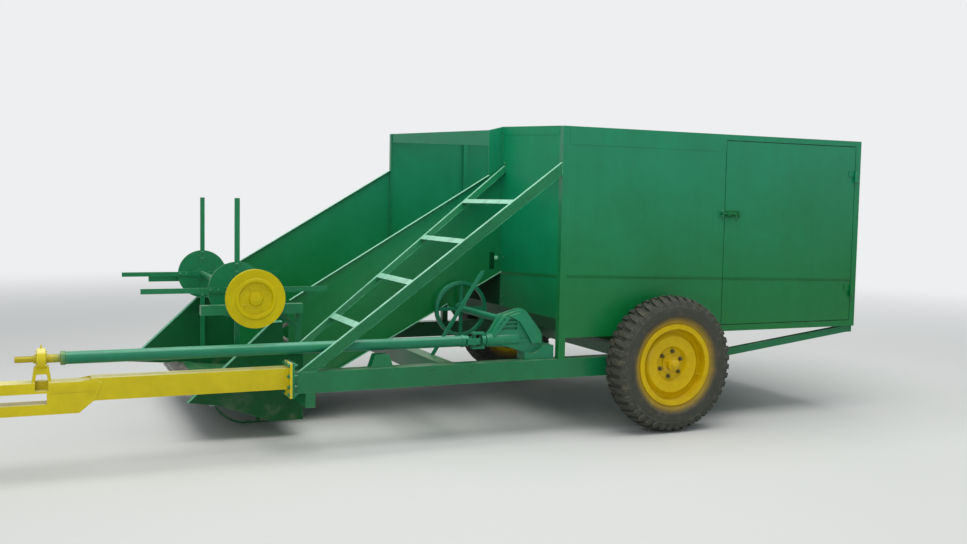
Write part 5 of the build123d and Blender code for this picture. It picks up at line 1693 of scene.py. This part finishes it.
@dataclass
class Header(SubAssembly):
    """Cutter bar, knife, pan, side plates, skids and the beam that carries them."""

    left: float = -0.635
    right: float = 1.165
    plate: float = 0.004
    bar_top: float = 0.246
    guard_pitch: float = 0.0762
    guards: int = 22
    guard_bolt_x: float = -1.628
    knife_top: float = 0.2515
    rivet_x: float = -1.692
    skid_bolts_x: Pair = (-1.270, -1.230)
    skid_rows: Pair = (-0.100, 0.740)
    left_edge: Path = ((-1.850, 0.270), (-1.314, 0.775), (-1.240, 0.775))
    right_edge: Path = ((-2.060, 0.270), (-1.524, 0.775), (-1.195, 0.775))

    def rows(self) -> list[float]:
        """Middle of each guard across the machine."""
        middle = (self.left + self.plate + self.right - self.plate) / 2
        return [middle + (row - (self.guards - 1) / 2) * self.guard_pitch for row in range(self.guards)]

    def build(self) -> None:
        """Builds guard bolts, knife rivets, edge strips and skid bolts."""
        rows = self.rows()
        small = Pen()
        for index, y in enumerate(rows):
            small.bolt((self.guard_bolt_x, y, self.bar_top - 0.010), (0, 0, -1), 0.014, index * 0.4, 0.006)
        for row in self.skid_rows:
            for x in self.skid_bolts_x:
                small.bolt((x, row - 0.050, 0.113), (0, 0, -1), 0.014, twist=x)
        small.piece("header_bolts", WORN_STEEL, slot=Slot.STEEL)

        knife = Pen()
        for low, high in zip(rows, rows[1:]):
            for shift in (-0.017, 0.017):
                knife.dome((self.rivet_x, (low + high) / 2 + shift, self.knife_top), (0, 0, 1), 0.0042)
        knife.piece("knife_rivets", WORN_STEEL, slot=Slot.STEEL)

        strips = Pen()
        for path, y, out in ((self.left_edge, self.left, -1), (self.right_edge, self.right, 1),
                             (self.right_edge, self.right - self.plate, -1)):
            for run in zip(path, path[1:]):
                strips.strip(run, y, 0.012, -out * 0.004, inset=0.004, sink=0.05)
        # Pale strips paint the highlight along the plate edges, together with their worn paint.
        strips.piece("header_edge_strips", TRIM_GREEN, bevel=0.0006)

    def finishes(self) -> Dressing:
        """Gives the header green, and its cutting parts bare steel."""
        return {FRAME_GREEN: ("header_beam", "header_carrier_arm", "header_skids"),
                HEADER_GREEN: ("left_header_plate", "right_header_plate"), SCRAPED_GREEN: ("header_pan",),
                WORN_STEEL: ("cutter_bar_guards", "knife_sections")}


@dataclass
class Reel(SubAssembly):
    """Reel with its pulley and supports."""

    x: float = -1.498
    z: float = 0.962
    rows: Pair = (-0.435, 1.065)
    disc_half: float = 0.004
    arm_thickness: float = 0.008
    arm_circles: Pair = (0.120, 0.170)
    pulley_y: float = -1.050
    bearing_seats: tuple[tuple[float, int], ...] = ((-0.605, -1), (1.138, 1))
    strut_y: Pair = (-0.5865, -0.5735)
    strut: Path = ((0.024, 0.032), (0.267, -0.141), (0.394, -0.238), (0.394, -0.262),
                   (0.243, -0.179), (-0.012, -0.038), (0.036, -0.012))

    def build(self) -> None:
        """Builds the arm bolts, hub parts, support strut and the bearings' bolts."""
        bolts = Pen()
        for row in self.rows:
            front, back = row - self.disc_half - self.arm_thickness, row + self.disc_half
            for radius in self.arm_circles:
                bolts.bolt_circle((self.x, front, self.z), -1, (4, radius, 0.0), 0.014)
                bolts.bolt_circle((self.x, back, self.z), 1, (4, radius, 0.0), 0.014, (20.0, 0.0), 0.006)
            collar = axle_frame((self.x, row + 0.040, self.z))
            bolts.ring([(0.0215, -0.001), (0.034, -0.001), (0.034, 0.012), (0.031, 0.014), (0.0215, 0.014)],
                       collar, 32)
        bolts.piece("reel_bolts", FRAME_GREEN, Body.REEL)

        hub = Pen()
        hub.turned([(0, -0.001), (0.024, -0.001), (0.024, 0.002), (0.020, 0.0035), (0.008, 0.002),
                    (0, 0.001)], axle_frame((self.x, self.pulley_y - 0.026, self.z), -1), 36)
        hub.bolt_circle((self.x, self.pulley_y - 0.010, self.z), -1, (4, 0.074, 0.5), 0.012, (0.0, 30.0))
        hub.piece("pulley_hub_fittings", PULLEY_YELLOW, Body.REEL, Slot.WHEEL)

        strut = Pen()
        corners = [(self.x + x, self.z + z) for x, z in self.strut]
        strut.prism(corners, side_frame(self.strut_y[1]), self.strut_y[1] - self.strut_y[0])
        strut.piece("reel_support_strut", FRAME_GREEN, bevel=0.0008)

        bearing = Pen()
        for y, out in self.bearing_seats:
            bearing.bolt_circle((self.x, y, self.z), out, (3, 0.033, 1.2), 0.011)
        bearing.piece("reel_bearing_bolts", FRAME_GREEN)

    def finishes(self) -> Dressing:
        """Gives the reel green and its pulley yellow."""
        return {FRAME_GREEN: ("reel_rotor", "left_reel_support", "right_reel_support"),
                PULLEY_YELLOW: ("reel_pulley",)}


@dataclass
class Studio:
    """Camera, soft lights and a plain pale floor."""

    eye: Triple = (-2.710, -7.135, 1.565)
    lens: float = 37.46
    yaw: float = math.radians(24.06)
    pitch: float = math.radians(3.93)
    roll: float = math.radians(1.06)
    floor_reach: float = 90.0
    floor_fade: Pair = (4.0, 16.0)
    floor_tone: Colour = linear(198, 198, 194)
    backdrop_tone: Colour = linear(238, 239, 240)
    sky_tone: Colour = linear(214, 222, 232)
    sky_strength: float = 0.62
    sensor: float = 36.0
    sight: float = 400.0
    machine: Triple = (0.3, 0, 0.9)

    def camera(self) -> None:
        """Sets the camera where the photograph was taken from."""
        ahead = Vector((math.sin(self.yaw), math.cos(self.yaw), 0))
        right = Vector((math.cos(self.yaw), -math.sin(self.yaw), 0))
        up = Vector((0, 0, 1))
        look = ahead * math.cos(self.pitch) - up * math.sin(self.pitch)
        rise = up * math.cos(self.pitch) + ahead * math.sin(self.pitch)
        across = right * math.cos(self.roll) + rise * math.sin(self.roll)
        rise = rise * math.cos(self.roll) - right * math.sin(self.roll)
        data = bpy.data.cameras.new("photograph")
        data.lens = self.lens
        data.sensor_width = self.sensor
        data.clip_end = self.sight
        made = show("photograph", data)
        made.matrix_world = Matrix((*zip(across, rise, -look, self.eye), (0, 0, 0, 1)))
        bpy.context.scene.camera = made

    def world(self) -> None:
        """Lights the scene with a soft sky and shows the backdrop to camera and glossy rays."""
        made = bpy.data.worlds.new("studio")
        tree = fresh_tree(made)
        soft = tree.add("ShaderNodeBackground", {"Color": self.sky_tone, "Strength": self.sky_strength})
        shown = tree.add("ShaderNodeBackground", {"Color": self.backdrop_tone, "Strength": 1.0})
        rays = tree.add("ShaderNodeLightPath").outputs
        mirrored = tree.math("MAXIMUM", rays["Is Glossy Ray"], rays["Is Transmission Ray"])
        seen = tree.math("MAXIMUM", rays["Is Camera Ray"], mirrored)
        blend = tree.add("ShaderNodeMixShader", {0: seen, 1: soft.outputs[0], 2: shown.outputs[0]})
        tree.add("ShaderNodeOutputWorld", {"Surface": blend.outputs[0]})
        bpy.context.scene.world = made

    def floor(self) -> None:
        """Lays the floor, which melts into the backdrop far from the machine."""
        pen = bmesh.new()
        pen.faces.new([pen.verts.new((x, y, 0)) for x, y in around(96, self.floor_reach)])
        data = bpy.data.meshes.new("studio_floor")
        pen.to_mesh(data)
        pen.free()
        made = bpy.data.materials.new("studio_floor")
        tree = fresh_tree(made)
        ground = tree.add("ShaderNodeBsdfDiffuse", {"Color": self.floor_tone})
        far = tree.add("ShaderNodeEmission", {"Color": self.backdrop_tone})
        away = tree.vector("LENGTH", tree.place()).outputs["Value"]
        rays = tree.add("ShaderNodeLightPath").outputs
        share = tree.times(tree.step(away, *self.floor_fade), rays["Is Camera Ray"])
        blend = tree.add("ShaderNodeMixShader", {0: share, 1: ground.outputs[0], 2: far.outputs[0]})
        tree.add("ShaderNodeOutputMaterial", {"Surface": blend.outputs[0]})
        data.materials.append(made)
        show("studio_floor", data)

    def lamp(self, name: str, place: Triple, aim: Triple, size: float, power: float, tone: Triple) -> None:
        """Hangs one soft lamp.

        Args:
            name: Name of the lamp.
            place: Where it hangs.
            aim: Point that it faces.
            size: Side of its square.
            power: Power in watts.
            tone: Its colour.
        """
        data = bpy.data.lights.new(name, "AREA")
        data.size = size
        data.energy = power
        data.color = tone
        made = show(name, data)
        made.location = place
        made.rotation_mode = "QUATERNION"
        made.rotation_quaternion = (Vector(place) - Vector(aim)).to_track_quat("Z", "Y")

    def make(self) -> None:
        """Builds the whole studio."""
        bpy.context.scene.view_settings.view_transform = "Standard"
        self.camera()
        self.world()
        self.floor()
        self.lamp("overhead", (0.5, -1.5, 9.0), (0.3, 0, 0.6), 9.0, 900.0, (1.0, 0.99, 0.97))
        self.lamp("left_fill", (-5.5, -9.0, 4.5), self.machine, 5.0, 260.0, (0.98, 1.0, 1.0))
        self.lamp("rear_fill", (7.0, 8.0, 5.0), self.machine, 5.0, 220.0, (0.98, 0.99, 1.0))


def main() -> None:
    """Builds the studio and every sub-assembly, in order."""
    logging.basicConfig(level=logging.INFO, format="%(name)s: %(message)s")
    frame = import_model()
    nodes = frame["nodes"]
    Studio().make()
    for part in (Wheel(nodes, side=Side.LEFT), Wheel(nodes, side=Side.RIGHT), Chassis(nodes), Hitch(nodes),
                 Drive(nodes), Ladder(nodes), Bin(nodes), Elevator(nodes), Header(nodes), Reel(nodes)):
        part.make()


if __name__ == "__main__":
    main()
